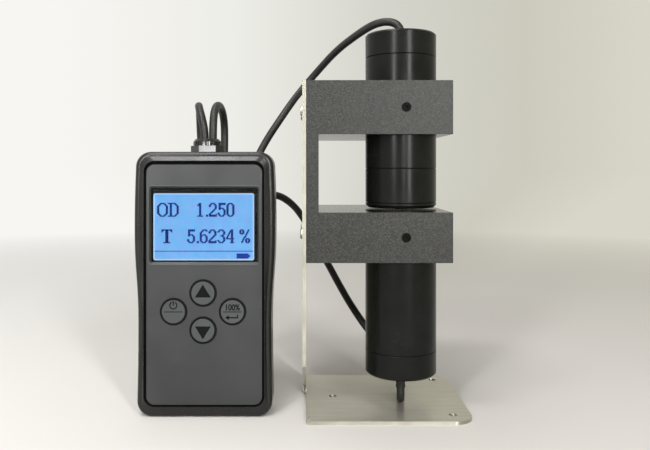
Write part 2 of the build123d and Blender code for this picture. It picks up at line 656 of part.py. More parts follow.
def make_rear_shell():
    """The rear half of the case, with the battery bay and its cover's track."""
    outline = case_outline()
    shell = raised(at_meter(outline), SPLIT_Y, METER_REAR)
    shell = fillet(edges_at(shell, Axis.Y, METER_REAR), CASE_REAR_R)
    shell = chamfer(edges_at(shell, Axis.Y, SPLIT_Y), PARTING_CHAMFER)
    rear_inner = METER_REAR - CASE_REAR_WALL
    shell -= raised(at_meter(offset(outline, -CASE_WALL)), SPLIT_Y, rear_inner)
    x0, x1, y0, y1, z0, z1 = bay_limits()
    shell += block(x0 - BAY_WALL, x1 + BAY_WALL, y0 - BAY_WALL, y1, z0 - BAY_WALL, z1 + BAY_WALL)
    shell -= block(x0, x1, y0, METER_REAR, z0, z1)
    for x, z in boss_spots():
        shell += rod_y(BOSS_R, x, z, SPLIT_Y, rear_inner)
        shell -= rod_y(CASE_SCREW_R + SEAT_GAP, x, z, SPLIT_Y, METER_REAR)
        shell -= rod_y(CASE_SCREW_HEAD_R + SEAT_GAP, x, z, screw_seat_y(), METER_REAR)
    half = DOOR_WIDTH / 2 + RUN_FIT
    track_low = DOOR_BOTTOM - DOOR_TRAVEL - SLIDE_GAP
    track_top = DOOR_BOTTOM + DOOR_HEIGHT + SEAT_GAP
    door_y = METER_REAR - DOOR
    shell -= block(METER_X - half, METER_X + half, door_y, METER_REAR, track_low, track_top)
    groove = half + DOOR_TONGUE
    shell -= block(
        METER_X - groove, METER_X + groove, door_y, door_y + DOOR_TONGUE + SEAT_GAP, track_low, track_top)
    return shell - gland_hole()


def make_battery_door():
    """The sliding battery cover, with side tongues and a thumb ridge."""
    door_y = METER_REAR - DOOR + SEAT_GAP / 2
    low, top = DOOR_BOTTOM, DOOR_BOTTOM + DOOR_HEIGHT
    half = DOOR_WIDTH / 2
    door = block(METER_X - half, METER_X + half, door_y, METER_REAR, low, top)
    tongue = half + DOOR_TONGUE - RUN_FIT
    door += block(METER_X - tongue, METER_X + tongue, door_y, door_y + DOOR_TONGUE, low, top)
    reach = THUMB_WIDTH / 2
    for step in range(THUMB_GROOVES):
        z = top - THUMB_FROM_TOP - step * THUMB_PITCH
        door -= block(METER_X - reach, METER_X + reach, METER_REAR - THUMB_DEPTH, METER_REAR,
                      z, z + THUMB_GROOVE)
    return door


def make_battery(index):
    """A round cell that stands upright in the bay, tips turned in turn."""
    x = METER_X + (index - (BATTERY_COUNT - 1) / 2) * BATTERY_PITCH
    y = METER_REAR - CASE_REAR_WALL - SLIDE_GAP - BATTERY_R
    low, top = BATTERY_BOTTOM, BATTERY_BOTTOM + BATTERY_LENGTH
    if index % 2:
        cell = rod_z(BATTERY_R, x, y, low + BATTERY_TIP, top)
        cell = fillet(edges_at(cell, Axis.Z, top), BATTERY_EDGE_R)
        return cell + rod_z(BATTERY_TIP_R, x, y, low, low + BATTERY_TIP)
    cell = rod_z(BATTERY_R, x, y, low, top - BATTERY_TIP)
    cell = fillet(edges_at(cell, Axis.Z, low), BATTERY_EDGE_R)
    return cell + rod_z(BATTERY_TIP_R, x, y, top - BATTERY_TIP, top)


def make_case_screw(x, z):
    """A case screw, its head sunk in the rear shell."""
    seat = screw_seat_y()
    head = rod_y(CASE_SCREW_HEAD_R, x, z, seat, seat + CASE_SCREW_HEAD)
    reach = CASE_SCREW_SLOT_REACH
    for size_x, size_z in ((reach, CASE_SCREW_SLOT), (CASE_SCREW_SLOT, reach)):
        head -= Pos(x, seat + CASE_SCREW_HEAD, z) * Box(size_x, CASE_SCREW_HEAD, size_z)
    return head + rod_y(CASE_SCREW_R, x, z, screw_tip_y(), seat)


def make_panel():
    """The front panel, with a bevelled display opening and four key holes."""
    plate = RectangleRounded(PANEL_WIDTH, PANEL_HEIGHT, PANEL_R)
    panel = raised(Pos(METER_X, PANEL_Z, 0) * plate, PANEL_Y, PANEL_BACK)
    opening = RectangleRounded(DISPLAY_WIDTH, DISPLAY_HEIGHT, DISPLAY_CORNER_R)
    opening_z = DISPLAY_BOTTOM + DISPLAY_HEIGHT / 2
    panel -= raised(Pos(METER_X, opening_z, 0) * opening, PANEL_Y, PANEL_BACK)
    front = edges_at(panel, Axis.Y, PANEL_Y)
    inner = front.filter_by_position(Axis.X, METER_X - DISPLAY_WIDTH / 2 - NEAR,
                                     METER_X + DISPLAY_WIDTH / 2 + NEAR)
    inner = inner.filter_by_position(Axis.Z, DISPLAY_BOTTOM - NEAR,
                                     DISPLAY_BOTTOM + DISPLAY_HEIGHT + NEAR)
    panel = chamfer(inner, DISPLAY_BEVEL)
    for dx, dz in KEY_SPOTS.values():
        panel -= rod_y(COLLAR_R + SEAT_GAP, KEYPAD_X + dx, KEY_CENTRE_Z + dz, PANEL_Y, PANEL_BACK)
    return panel


def make_display():
    """Lens, display panel and backlight behind the panel's opening."""
    half_w = DISPLAY_WIDTH / 2
    top = DISPLAY_BOTTOM + DISPLAY_HEIGHT
    half_lens = min(half_w + LENS_LAP, PANEL_WIDTH / 2 - PANEL_LEDGE - SEAT_GAP)
    low, high = DISPLAY_BOTTOM - LENS_LAP, top + LENS_LAP
    half_lcd = half_w - LCD_MARGIN
    x = METER_X
    return {
        "display_lens": block(x - half_lens, x + half_lens, PANEL_BACK, LCD_Y, low, high),
        "display_panel": block(x - half_lcd, x + half_lcd, LCD_Y, BACKLIGHT_Y, DISPLAY_BOTTOM, top),
        "display_backlight": block(x - half_w, x + half_w, BACKLIGHT_Y, MAIN_BOARD_Y, low, high),
    }


def make_keypad_mat():
    """The rubber mat: a collar round each key and a pill behind it."""
    half = PANEL_WIDTH / 2 - PANEL_LEDGE - SEAT_GAP
    low, high = KEY_CENTRE_Z - MAT_HEIGHT / 2, KEY_CENTRE_Z + MAT_HEIGHT / 2
    mat = block(METER_X - half, METER_X + half, PANEL_BACK, PANEL_BACK + MAT, low, high)
    for dx, dz in KEY_SPOTS.values():
        x, z = KEYPAD_X + dx, KEY_CENTRE_Z + dz
        mat += rod_y(COLLAR_R, x, z, PANEL_Y - COLLAR_PROUD, PANEL_BACK)
        mat -= rod_y(COLLAR_BORE, x, z, PANEL_Y - COLLAR_PROUD, PANEL_BACK)
        mat += rod_y(PILL_R, x, z, PANEL_BACK + MAT, MAIN_BOARD_Y)
    return mat


def make_key(dx, dz):
    """A round key with a softened edge."""
    x, z = KEYPAD_X + dx, KEY_CENTRE_Z + dz
    front = PANEL_Y - KEY_PROUD
    back = PANEL_BACK - KEY_TRAVEL - SEAT_GAP
    key = rod_y(KEY_R, x, z, front, back)
    return fillet(edges_at(key, Axis.Y, front), KEY_EDGE_R)


def make_main_board():
    """The circuit board that carries the display and the mat."""
    half = MAIN_BOARD_WIDTH / 2
    top = MAIN_BOARD_BOTTOM + MAIN_BOARD_HEIGHT
    return block(METER_X - half, METER_X + half, MAIN_BOARD_Y, MAIN_BOARD_Y + BOARD,
                 MAIN_BOARD_BOTTOM, top)


# Gland

def make_gland_body():
    """The gland's six-sided collar and its shank through the case."""
    collar = Rot(0, 0, GLAND_TURN) * hex_bar(GLAND_HEX, GLAND_COLLAR)
    body = Pos(METER_X, GLAND_Y, METER_HEIGHT) * collar
    body += rod_z(GLAND_SHANK_R, METER_X, GLAND_Y, METER_HEIGHT - GLAND_SHANK, METER_HEIGHT)
    top = METER_HEIGHT + GLAND_COLLAR
    return body - rod_z(SEAL_R + RUN_FIT, METER_X, GLAND_Y, METER_HEIGHT - GLAND_SHANK, top)


def make_gland_nut():
    """The domed nut that closes on the seal."""
    low = METER_HEIGHT + GLAND_COLLAR
    shoulder = low + GLAND_NUT_SHOULDER
    bore = SEAL_R + RUN_FIT
    return turned([
        (bore, low), (GLAND_NUT_R, low), (GLAND_NUT_R, shoulder), (GLAND_NUT_TOP_R, GLAND_TOP),
        (bore, GLAND_TOP),
    ], METER_X, GLAND_Y)


def make_gland_locknut():
    """The nut that holds the gland from inside the case."""
    top = METER_HEIGHT - CASE_WALL
    nut = Pos(METER_X, GLAND_Y, top - LOCKNUT) * hex_bar(LOCKNUT_AF, LOCKNUT)
    return nut - rod_z(GLAND_SHANK_R + THREAD_GAP, METER_X, GLAND_Y, top - LOCKNUT, top)


# Leads

def make_lead(name, route):
    """A lead's tube: straight runs joined by arcs as large as they allow."""
    points = [Vector(*point) for point in route]
    radii = []
    for before, here, after in zip(points, points[1:], points[2:]):
        run_in, run_out = here - before, after - here
        turn = math.radians(run_in.get_angle(run_out))
        shorter = min(run_in.length, run_out.length)
        radii.append(BEND_SHARE * shorter / math.tan(turn / 2))
    path = FilletPolyline(*points, radius=radii)
    start = Plane(points[0], z_dir=(points[1] - points[0]).normalized())
    tube = sweep(start * Circle(LEAD_D / 2), path=path)
    share = tube.volume / (math.pi * LEAD_D ** 2 / 4 * path.length)
    print(name, "length", round(path.length, 1), "volume share", round(share, 4))
    print(name, "radii", [round(radius, 1) for radius in radii])
    return tube


def build_nodes():
    """Every piece of the object, under its node's name."""
    nodes = {
        "stand_plate": make_stand_plate(),
        "head_bracket": make_head_bracket(),
        "upper_clamp_screw": make_clamp_screw(UPPER_ARM_Z),
        "lower_clamp_screw": make_clamp_screw(LOWER_ARM_Z),
        "receiver_cap": make_cap(RECEIVER_CAP_Z, RECEIVER_TOP, BUSH_R + RUN_FIT),
        "receiver_barrel": make_receiver_barrel(),
        "receiver_nose": make_receiver_nose(),
        "receiver_ring": make_receiver_ring(),
        "source_stage": make_source_stage(),
        "source_barrel": make_source_barrel(),
        "source_lens": make_source_lens(),
        "source_cap": make_cap(SOURCE_CAP_TOP, SOURCE_BOTTOM, SLEEVE_R + RUN_FIT),
        "meter_front_shell": make_front_shell(),
        "meter_rear_shell": make_rear_shell(),
        "meter_panel": make_panel(),
        "keypad_mat": make_keypad_mat(),
        "main_board": make_main_board(),
        "battery_door": make_battery_door(),
        "gland_body": make_gland_body(),
        "gland_nut": make_gland_nut(),
        "gland_seal": rod_z(SEAL_R, METER_X, GLAND_Y, GLAND_TOP - SEAL_HEIGHT, GLAND_TOP),
        "gland_locknut": make_gland_locknut(),
        "receiver_lead": make_lead("receiver_lead", RECEIVER_LEAD_ROUTE),
        "source_lead": make_lead("source_lead", SOURCE_LEAD_ROUTE),
    }
    nodes.update(make_receiver_inside())
    nodes.update(make_source_inside())
    nodes.update(make_display())
    for number, (y, z) in enumerate(bracket_screw_spots(), 1):
        nodes[f"bracket_screw_{number}"] = make_bracket_screw(y, z)
    for number, (x, z) in enumerate(boss_spots(), 1):
        nodes[f"case_screw_{number}"] = make_case_screw(x, z)
    for index in range(BATTERY_COUNT):
        nodes[f"battery_{index + 1}"] = make_battery(index)
    for key, (dx, dz) in KEY_SPOTS.items():
        nodes[f"key_{key}"] = make_key(dx, dz)
    return nodes


def main():
    """Write one STEP file for each piece."""
    os.makedirs("parts", exist_ok=True)
    for name, solid in build_nodes().items():
        solid.label = name
        export_step(solid, f"parts/{name}.step")


if __name__ == "__main__":
    main()
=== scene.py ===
"""A bench optical density meter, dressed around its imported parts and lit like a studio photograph.

Sizes are in metres, +Z up, +X to the right and +Y away from the viewer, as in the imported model.
"""

import logging
import math
from dataclasses import dataclass, field
from enum import Enum
from typing import Callable, Dict, List, Sequence, Tuple

import bmesh
import bpy
from mathutils import Matrix, Vector

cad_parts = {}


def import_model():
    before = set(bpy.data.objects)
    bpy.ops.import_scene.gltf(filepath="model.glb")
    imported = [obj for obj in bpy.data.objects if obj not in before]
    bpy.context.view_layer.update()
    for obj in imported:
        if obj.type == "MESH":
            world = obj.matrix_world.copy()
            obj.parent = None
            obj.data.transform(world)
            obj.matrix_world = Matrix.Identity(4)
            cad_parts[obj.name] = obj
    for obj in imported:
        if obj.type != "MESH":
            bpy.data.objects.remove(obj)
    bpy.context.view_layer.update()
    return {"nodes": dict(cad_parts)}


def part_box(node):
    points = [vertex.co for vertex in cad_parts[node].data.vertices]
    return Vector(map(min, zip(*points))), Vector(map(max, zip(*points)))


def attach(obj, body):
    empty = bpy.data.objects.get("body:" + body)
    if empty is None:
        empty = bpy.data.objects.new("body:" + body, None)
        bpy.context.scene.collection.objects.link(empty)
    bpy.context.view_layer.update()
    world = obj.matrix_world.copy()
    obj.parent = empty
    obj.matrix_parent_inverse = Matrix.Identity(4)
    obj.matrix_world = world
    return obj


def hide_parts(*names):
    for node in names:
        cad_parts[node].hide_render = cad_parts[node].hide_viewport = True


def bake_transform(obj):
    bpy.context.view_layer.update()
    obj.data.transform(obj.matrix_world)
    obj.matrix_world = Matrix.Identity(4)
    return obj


LOG = logging.getLogger("density_meter")
MM = 0.001
# How far apart two places may lie and still count as one, and how far a cut reaches past a face
NEAR = 0.00001
# The range in which smooth noise mostly lies
NOISE_SPAN = (0.3, 0.7)
# The mix node's sockets for its share, its two colours and its result
MIX_SHARE = 0
MIX_FIRST_COLOUR = 6
MIX_SECOND_COLOUR = 7
MIX_RESULT_COLOUR = 2
Point = Tuple[float, float, float]
Colour = Tuple[float, float, float, float]
Stop = Tuple[float, Colour]


class Body(Enum):
    """The moving bodies that a piece can ride on."""

    ROOT = "root"
    RECEIVER = "receiver_head"
    UP_KEY = "up_key"
    DOWN_KEY = "down_key"
    POWER_KEY = "power_key"
    HUNDRED_KEY = "hundred_key"


class Axis(Enum):
    """A direction along which a rod lies."""

    Y = 1
    Z = 2


def shade(code: str) -> Colour:
    """Turn a written colour into the light values that shaders use.

    Args:
        code: The colour as six hexadecimal digits.

    Returns:
        Red, green, blue and alpha, in linear light.
    """
    parts = [int(code[place:place + 2], 16) / 255 for place in (0, 2, 4)]
    linear = [part / 12.92 if part <= 0.04045 else ((part + 0.055) / 1.055) ** 2.4 for part in parts]
    return linear[0], linear[1], linear[2], 1.0


# Finishes

def new_material(name: str) -> bpy.types.Material:
    """Start a material that is made of nodes."""
    made = bpy.data.materials.new(name)
    made.use_nodes = True
    return made


class Graph:
    """A node tree, with one short method for each node that is laid in it."""

    def __init__(self, tree: bpy.types.NodeTree) -> None:
        """Take a tree.

        Args:
            tree: The node tree of a material or of the world.
        """
        self.tree = tree
        self.shader = tree.nodes.get("Principled BSDF")

    def node(self, kind: str, **settings: object) -> bpy.types.Node:
        """Add a node.

        Args:
            kind: The node's type.
            settings: Properties to set on it.

        Returns:
            The new node.
        """
        made = self.tree.nodes.new(kind)
        for key, value in settings.items():
            setattr(made, key, value)
        return made

    def feed(self, value: object, socket: bpy.types.NodeSocket) -> None:
        """Give a socket a fixed value or another socket's output.

        Args:
            value: A number, a colour, a vector or an output socket.
            socket: The input that takes it.
        """
        if isinstance(value, bpy.types.NodeSocket):
            self.tree.links.new(value, socket)
        else:
            socket.default_value = value

    def fit(self, **values: object) -> None:
        """Set the shader's own inputs, named with underscores for spaces."""
        for key, value in values.items():
            self.feed(value, self.shader.inputs[key.replace("_", " ")])

    def place(self, scale: Point = (1, 1, 1)) -> bpy.types.NodeSocket:
        """Object coordinates, stretched along each axis by a share."""
        source = self.node("ShaderNodeTexCoord")
        mapping = self.node("ShaderNodeMapping")
        self.feed(source.outputs["Object"], mapping.inputs["Vector"])
        mapping.inputs["Scale"].default_value = scale
        return mapping.outputs["Vector"]

    def noise(self, place: bpy.types.NodeSocket, scale: float, detail: float = 2.0,
              roughness: float = 0.5) -> bpy.types.NodeSocket:
        """Smooth noise from 0 to 1.

        Args:
            place: Coordinates.
            scale: Lumps per metre.
            detail: Octaves.
            roughness: Weight of the finer octaves.

        Returns:
            The noise value.
        """
        made = self.node("ShaderNodeTexNoise")
        self.feed(place, made.inputs["Vector"])
        made.inputs["Scale"].default_value = scale
        made.inputs["Detail"].default_value = detail
        made.inputs["Roughness"].default_value = roughness
        return made.outputs["Fac"]

    def ramp(self, value: bpy.types.NodeSocket, stops: Sequence[Stop]) -> bpy.types.NodeSocket:
        """Colours along a value.

        Args:
            value: What runs from 0 to 1.
            stops: Place and colour of each stop.

        Returns:
            The colour.
        """
        made = self.node("ShaderNodeValToRGB")
        self.feed(value, made.inputs["Fac"])
        for number, (at, colour) in enumerate(stops):
            if number < 2:
                stop = made.color_ramp.elements[number]
                stop.position = at
            else:
                stop = made.color_ramp.elements.new(at)
            stop.color = colour
        return made.outputs["Color"]

    def span(self, value: bpy.types.NodeSocket, source: Tuple[float, float],
             target: Tuple[float, float]) -> bpy.types.NodeSocket:
        """Map one range to another, held at its ends.

        Args:
            value: What is mapped.
            source: The range it has.
            target: The range it gets.

        Returns:
            The mapped value.
        """
        made = self.node("ShaderNodeMapRange")
        self.feed(value, made.inputs["Value"])
        made.inputs["From Min"].default_value, made.inputs["From Max"].default_value = source
        made.inputs["To Min"].default_value, made.inputs["To Max"].default_value = target
        return made.outputs["Result"]

    def maths(self, operation: str, first: object, second: object = 0.0) -> bpy.types.NodeSocket:
        """One step of arithmetic.

        Args:
            operation: The operation's name.
            first: Its first input.
            second: Its second input.

        Returns:
            The result.
        """
        made = self.node("ShaderNodeMath", operation=operation)
        self.feed(first, made.inputs[0])
        self.feed(second, made.inputs[1])
        return made.outputs["Value"]

    def blend(self, share: object, first: object, second: object) -> bpy.types.NodeSocket:
        """Mix two colours.

        Args:
            share: Weight of the second colour.
            first: One colour.
            second: The other colour.

        Returns:
            The mixed colour.
        """
        made = self.node("ShaderNodeMix", data_type="RGBA")
        self.feed(share, made.inputs[MIX_SHARE])
        self.feed(first, made.inputs[MIX_FIRST_COLOUR])
        self.feed(second, made.inputs[MIX_SECOND_COLOUR])
        return made.outputs[MIX_RESULT_COLOUR]

    def axis(self, place: bpy.types.NodeSocket, letter: str) -> bpy.types.NodeSocket:
        """One of the three coordinates."""
        made = self.node("ShaderNodeSeparateXYZ")
        self.feed(place, made.inputs[0])
        return made.outputs[letter]

    def relief(self, height: bpy.types.NodeSocket, depth: float) -> None:
        """Give the surface a fine relief.

        Args:
            height: Height from 0 to 1.
            depth: What a height of 1 stands for, in metres.
        """
        made = self.node("ShaderNodeBump")
        self.feed(height, made.inputs["Height"])
        made.inputs["Distance"].default_value = depth
        made.inputs["Strength"].default_value = 1.0
        self.feed(made.outputs["Normal"], self.shader.inputs["Normal"])


@dataclass(frozen=True)
class Finish:
    """A finish that pieces share: its name, and how its nodes are laid out."""

    name: str

    def lay(self, graph: Graph) -> None:
        """Lay out the finish's nodes."""
        raise NotImplementedError

    def material(self) -> bpy.types.Material:
        """The finish's material, made the first time that it is asked for."""
        name = f"{self.name}_finish"
        found = bpy.data.materials.get(name)
        if found:
            return found
        made = new_material(name)
        self.lay(Graph(made.node_tree))
        return made

    def dress(self, *pieces: bpy.types.Object) -> None:
        """Put the finish on pieces, in place of what they had."""
        for piece in pieces:
            piece.data.materials.clear()
            piece.data.materials.append(self.material())


@dataclass(frozen=True)
class BrushedSteel(Finish):
    """Stainless sheet, brushed along its length, which the bend turns from X to Z."""

    light: str = "C3C0B3"
    dark: str = "9E9B8F"
    lines: float = 5200.0
    line_stretch: float = 0.012
    bands: float = 420.0
    band_stretch: float = 0.06
    clouds: float = 24.0
    soft_share: float = 0.35
    roughness: Tuple[float, float] = (0.3, 0.42)
    spread: float = 0.85
    edge_slope: float = 0.7
    depth: float = 0.00001

    def lay(self, graph: Graph) -> None:
        """Lay out long fine lines, broader bands and a faint cloudiness."""
        along = graph.place(scale=(self.line_stretch, 1, self.line_stretch))
        fine = graph.noise(along, self.lines, detail=3, roughness=0.7)
        wide = graph.place(scale=(self.band_stretch, 1, self.band_stretch))
        broad = graph.noise(wide, self.bands, detail=2)
        cloud = graph.noise(graph.place(), self.clouds, detail=3)
        lines = graph.blend(self.soft_share, fine, broad)
        tone = graph.blend(graph.maths("MULTIPLY", cloud, self.soft_share), lines, cloud)
        graph.fit(Base_Color=graph.ramp(tone, [(0.3, shade(self.dark)), (0.7, shade(self.light))]),
                  Metallic=1.0, Roughness=graph.span(fine, (0.2, 0.8), self.roughness),
                  Anisotropic=self.spread, Tangent=self.across(graph))
        graph.relief(fine, self.depth)

    def across(self, graph: Graph) -> bpy.types.NodeSocket:
        """The way in which the lines spread a reflection: along Y, and along Z on the edges that face it.

        Args:
            graph: The tree that it is laid in.

        Returns:
            The direction.
        """
        surface = graph.node("ShaderNodeNewGeometry")
        slope = graph.maths("ABSOLUTE", graph.axis(surface.outputs["Normal"], "Y"))
        end_on = graph.maths("GREATER_THAN", slope, self.edge_slope)
        way = graph.node("ShaderNodeCombineXYZ")
        graph.feed(graph.maths("SUBTRACT", 1.0, end_on), way.inputs["Y"])
        graph.feed(end_on, way.inputs["Z"])
        return way.outputs[0]


@dataclass(frozen=True)
class PowderCoat(Finish):
    """Fine textured powder coat, speckled by its grain; the light specks are partly grain and partly
    painted glints.
    """

    ground: str = "0D0D0C"
    # Light specks: partly the coat's grain, partly painted glints.
    speck_and_painted_glint: str = "42433D"
    grain: float = 2400.0
    clump: float = 480.0
    clump_share: float = 0.05
    roughness: Tuple[float, float] = (0.34, 0.48)
    slanted: Tuple[float, float] = (0.8, 0.97)
    slanted_share: float = 0.35
    gloss: float = 0.3
    depth: float = 0.00007

    def lay(self, graph: Graph) -> None:
        """Lay out grains of two sizes, and a surface that turns glossy at a slanted look."""
        place = graph.place()
        grain = graph.noise(place, self.grain, detail=4, roughness=0.65)
        clump = graph.noise(place, self.clump, detail=2)
        mixed = graph.blend(self.clump_share, grain, clump)
        slant = graph.node("ShaderNodeLayerWeight").outputs["Facing"]
        glance = graph.span(slant, self.slanted, (1.0, self.slanted_share))
        rough = graph.span(grain, NOISE_SPAN, self.roughness)
        # The light specks are partly the coat's grain and partly painted glints.
        graph.fit(Base_Color=graph.ramp(mixed, [(0.47, shade(self.ground)), (0.66, shade(self.speck_and_painted_glint))]),
                  Roughness=graph.maths("MULTIPLY", rough, glance), Specular_IOR_Level=self.gloss)
        graph.relief(grain, self.depth)


@dataclass(frozen=True)
class BlackAnodised(Finish):
    """Turned aluminium, anodised black, with the tool's rings just visible."""

    colour: str = "0E0F0D"
    bloom: str = "151614"
    rings: float = 2600.0
    ring_stretch: float = 0.02
    blotches: float = 60.0
    roughness: Tuple[float, float] = (0.22, 0.28)
    gloss: float = 0.12
    depth: float = 0.000003

    def lay(self, graph: Graph) -> None:
        """Lay out turning rings along the height and a faint bloom."""
        turned = graph.place(scale=(self.ring_stretch, self.ring_stretch, 1))
        rings = graph.noise(turned, self.rings, detail=2)
        bloom = graph.noise(graph.place(), self.blotches, detail=4, roughness=0.6)
        graph.fit(Base_Color=graph.ramp(bloom, [(0.35, shade(self.colour)), (0.7, shade(self.bloom))]),
                  Roughness=graph.span(bloom, NOISE_SPAN, self.roughness), Specular_IOR_Level=self.gloss)
        graph.relief(rings, self.depth)


@dataclass(frozen=True)
class Moulding(Finish):
    """Moulded plastic or rubber with a spark-eroded grain."""

    colour: str = "1C1C1B"
    worn: str = "242423"
    grain: float = 2800.0
    patches: float = 45.0
    depth: float = 0.00002
    smooth: float = 0.4
    smooth_spread: float = 0.1
    gloss: float = 0.22

    def lay(self, graph: Graph) -> None:
        """Lay out the mould's grain and a slow change of tone."""
        grain = graph.noise(graph.place(), self.grain, detail=3, roughness=0.6)
        slow = graph.noise(graph.place(), self.patches, detail=3)
        roughness = (self.smooth, self.smooth + self.smooth_spread)
        graph.fit(Base_Color=graph.ramp(slow, [(0.35, shade(self.colour)), (0.7, shade(self.worn))]),
                  Roughness=graph.span(slow, NOISE_SPAN, roughness), Specular_IOR_Level=self.gloss)
        graph.relief(grain, self.depth)


@dataclass(frozen=True)
class Metal(Finish):
    """Plated, blackened or bare small metal parts."""

    colour: str = "C9C7BE"
    dull: str = "A7A59B"
    smooth: float = 0.28
    smooth_spread: float = 0.14
    blotches: float = 700.0
    scratches: float = 4200.0
    scratch_stretch: float = 0.1
    depth: float = 0.000004

    def lay(self, graph: Graph) -> None:
        """Lay out blotches and fine scratches."""
        blotch = graph.noise(graph.place(), self.blotches, detail=4)
        along = graph.place(scale=(1, self.scratch_stretch, 1))
        scratch = graph.noise(along, self.scratches, detail=2)
        roughness = (self.smooth, self.smooth + self.smooth_spread)
        graph.fit(Base_Color=graph.ramp(blotch, [(0.35, shade(self.dull)), (0.65, shade(self.colour))]),
                  Metallic=1.0, Roughness=graph.span(blotch, NOISE_SPAN, roughness))
        graph.relief(scratch, self.depth)


@dataclass(frozen=True)
class Clear(Finish):
    """Clear glass or acrylic with a faint tint."""

    tint: str = "F4F8F8"
    smooth: float = 0.03
    smeared: float = 0.08
    smears: float = 90.0
    index: float = 1.46

    def lay(self, graph: Graph) -> None:
        """Lay out a nearly even surface with faint smears."""
        smear = graph.noise(graph.place(), self.smears, detail=3)
        graph.fit(Base_Color=shade(self.tint), Transmission_Weight=1.0, IOR=self.index,
                  Roughness=graph.span(smear, (0.4, 0.8), (self.smooth, self.smeared)))


@dataclass(frozen=True)
class Backlit(Finish):
    """The display's lit face, as large as its window: blue with violet clouds, paler along its rim."""

    colour: str = "5CACEE"
    pale: str = "70B8F2"
    violet: str = "7F9FF0"
    rim: str = "C4DEFA"
    unlit: str = "101820"
    clouds: float = 150.0
    patches: float = 420.0
    middle: Tuple[float, float] = (-55.0 * MM, 105.6 * MM)
    half: Tuple[float, float] = (28.1 * MM, 18.7 * MM)
    rim_width: float = 1.1 * MM

    def lay(self, graph: Graph) -> None:
        """Lay out the clouds and the rim, and let them glow."""
        place = graph.place()
        cloud = graph.noise(place, self.clouds, detail=3)
        patch = graph.noise(place, self.patches, detail=2)
        blue = graph.ramp(cloud, [(0.3, shade(self.colour)), (0.75, shade(self.pale))])
        mottled = graph.blend(graph.span(patch, (0.48, 0.62), (0.0, 0.6)), blue, shade(self.violet))
        inset = []
        for letter, centre, half in zip("XZ", self.middle, self.half):
            away = graph.maths("ABSOLUTE", graph.maths("SUBTRACT", graph.axis(place, letter), centre))
            inset.append(graph.maths("SUBTRACT", half, away))
        edge = graph.maths("MINIMUM", *inset)
        tone = graph.blend(graph.span(edge, (0.0, self.rim_width), (0.9, 0.0)), mottled, shade(self.rim))
        graph.fit(Base_Color=shade(self.unlit), Roughness=0.3, Emission_Color=tone, Emission_Strength=1.0)


class Finishes:
    """The finishes of this object, one for each kind of surface."""

    STEEL = BrushedSteel("brushed_steel")
    COAT = PowderCoat("powder_coat")
    ANODISED = BlackAnodised("black_anodised")
    CASE = Moulding("case_plastic", colour="151515", worn="191919", smooth=0.24, gloss=0.34)
    PANEL = Moulding("panel_plastic", colour="1C1E1F", worn="212324", grain=3600, depth=0.000008,
                     smooth=0.3, gloss=0.6)
    LIP = Moulding("lip_plastic", colour="3B3B39", worn="454543", depth=0.000004, smooth=0.28, gloss=0.5)
    COLLAR = Moulding("collar_rubber", colour="070707", worn="0B0B0B", smooth=0.55, gloss=0.1)
    # Painted shade: near-black for the ring that stands for the shadow in the panel's groove.
    GROOVE_SHADE = Moulding("groove_shade_black", colour="050505", worn="080808", smooth=0.7, gloss=0.05)
    KEY = Moulding("key_rubber", colour="3E4041", worn="454748", smooth=0.55, gloss=0.15)
    NYLON = Moulding("gland_nylon", colour="111110", worn="181817", depth=0.000004, smooth=0.12, gloss=0.5)
    JACKET = Moulding("cable_jacket", colour="191918", worn="222221", grain=1800, smooth=0.38, gloss=0.3)
    SLEEVE = Moulding("sleeve_rubber", colour="1A1A19", worn="242423", grain=1200, smooth=0.55)
    BLACK_SCREW = Metal("black_oxide", colour="161615", dull="0E0E0E", smooth=0.4)
    PLATED = Metal("plated_steel")
    GLASS = Clear("clear_glass")
    WINDOW = Clear("display_window", index=1.18)
    FILTER = Moulding("filter_glass", colour="1C2A22", worn="22332A", smooth=0.08)
    DIFFUSER = Moulding("diffuser_white", colour="ECECE6", worn="F2F2EE", smooth=0.5)
    BOARD = Moulding("board_laminate", colour="1D4A33", worn="245A3F", smooth=0.35)
    LAMP = Moulding("lamp_epoxy", colour="E4E0C4", worn="EEEAD2", smooth=0.15)
    CELL = Moulding("cell_wrap", colour="30363C", worn="3A4148", smooth=0.3)
    LCD = Backlit("display_glow")
    INK_BLACK = Moulding("black_print", colour="0A0A0A", worn="0F0F0F", depth=0.000004,
                         smooth=0.6, gloss=0.08)
    INK_BLUE = Moulding("display_ink", colour="0A2A86", worn="0C2F90", depth=0.000002,
                        smooth=0.7, gloss=0.05)


NODE_FINISHES: Dict[Finish, Sequence[str]] = {
    Finishes.STEEL: ["stand_plate"],
    Finishes.COAT: ["head_bracket"],
    Finishes.ANODISED: [
        "receiver_cap", "receiver_barrel", "receiver_nose", "receiver_ring", "source_stage",
        "source_barrel", "source_cap", "source_lens_tube"],
    Finishes.CASE: ["meter_front_shell", "meter_rear_shell", "battery_door"],
    Finishes.PANEL: ["meter_panel"],
    Finishes.COLLAR: ["keypad_mat", "receiver_bush"],
    Finishes.KEY: ["key_up", "key_down", "key_power", "key_hundred"],
    Finishes.NYLON: ["gland_body", "gland_nut", "gland_seal", "gland_locknut"],
    Finishes.SLEEVE: ["source_sleeve"],
    Finishes.BLACK_SCREW: ["upper_clamp_screw", "lower_clamp_screw"],
    Finishes.PLATED: [
        "bracket_screw_1", "bracket_screw_2", "bracket_screw_3", "bracket_screw_4",
        "case_screw_1", "case_screw_2", "case_screw_3", "case_screw_4", "receiver_photodiode"],
    Finishes.GLASS: ["receiver_window", "source_lens"],
    Finishes.WINDOW: ["display_lens"],
    Finishes.FILTER: ["receiver_filter"],
    Finishes.DIFFUSER: ["source_diffuser", "display_backlight"],
    Finishes.BOARD: ["receiver_board", "source_board", "main_board"],
    Finishes.LAMP: ["source_led"],
    Finishes.CELL: ["battery_1", "battery_2", "battery_3", "battery_4"],
    Finishes.LCD: ["display_panel"],
}


# Bench

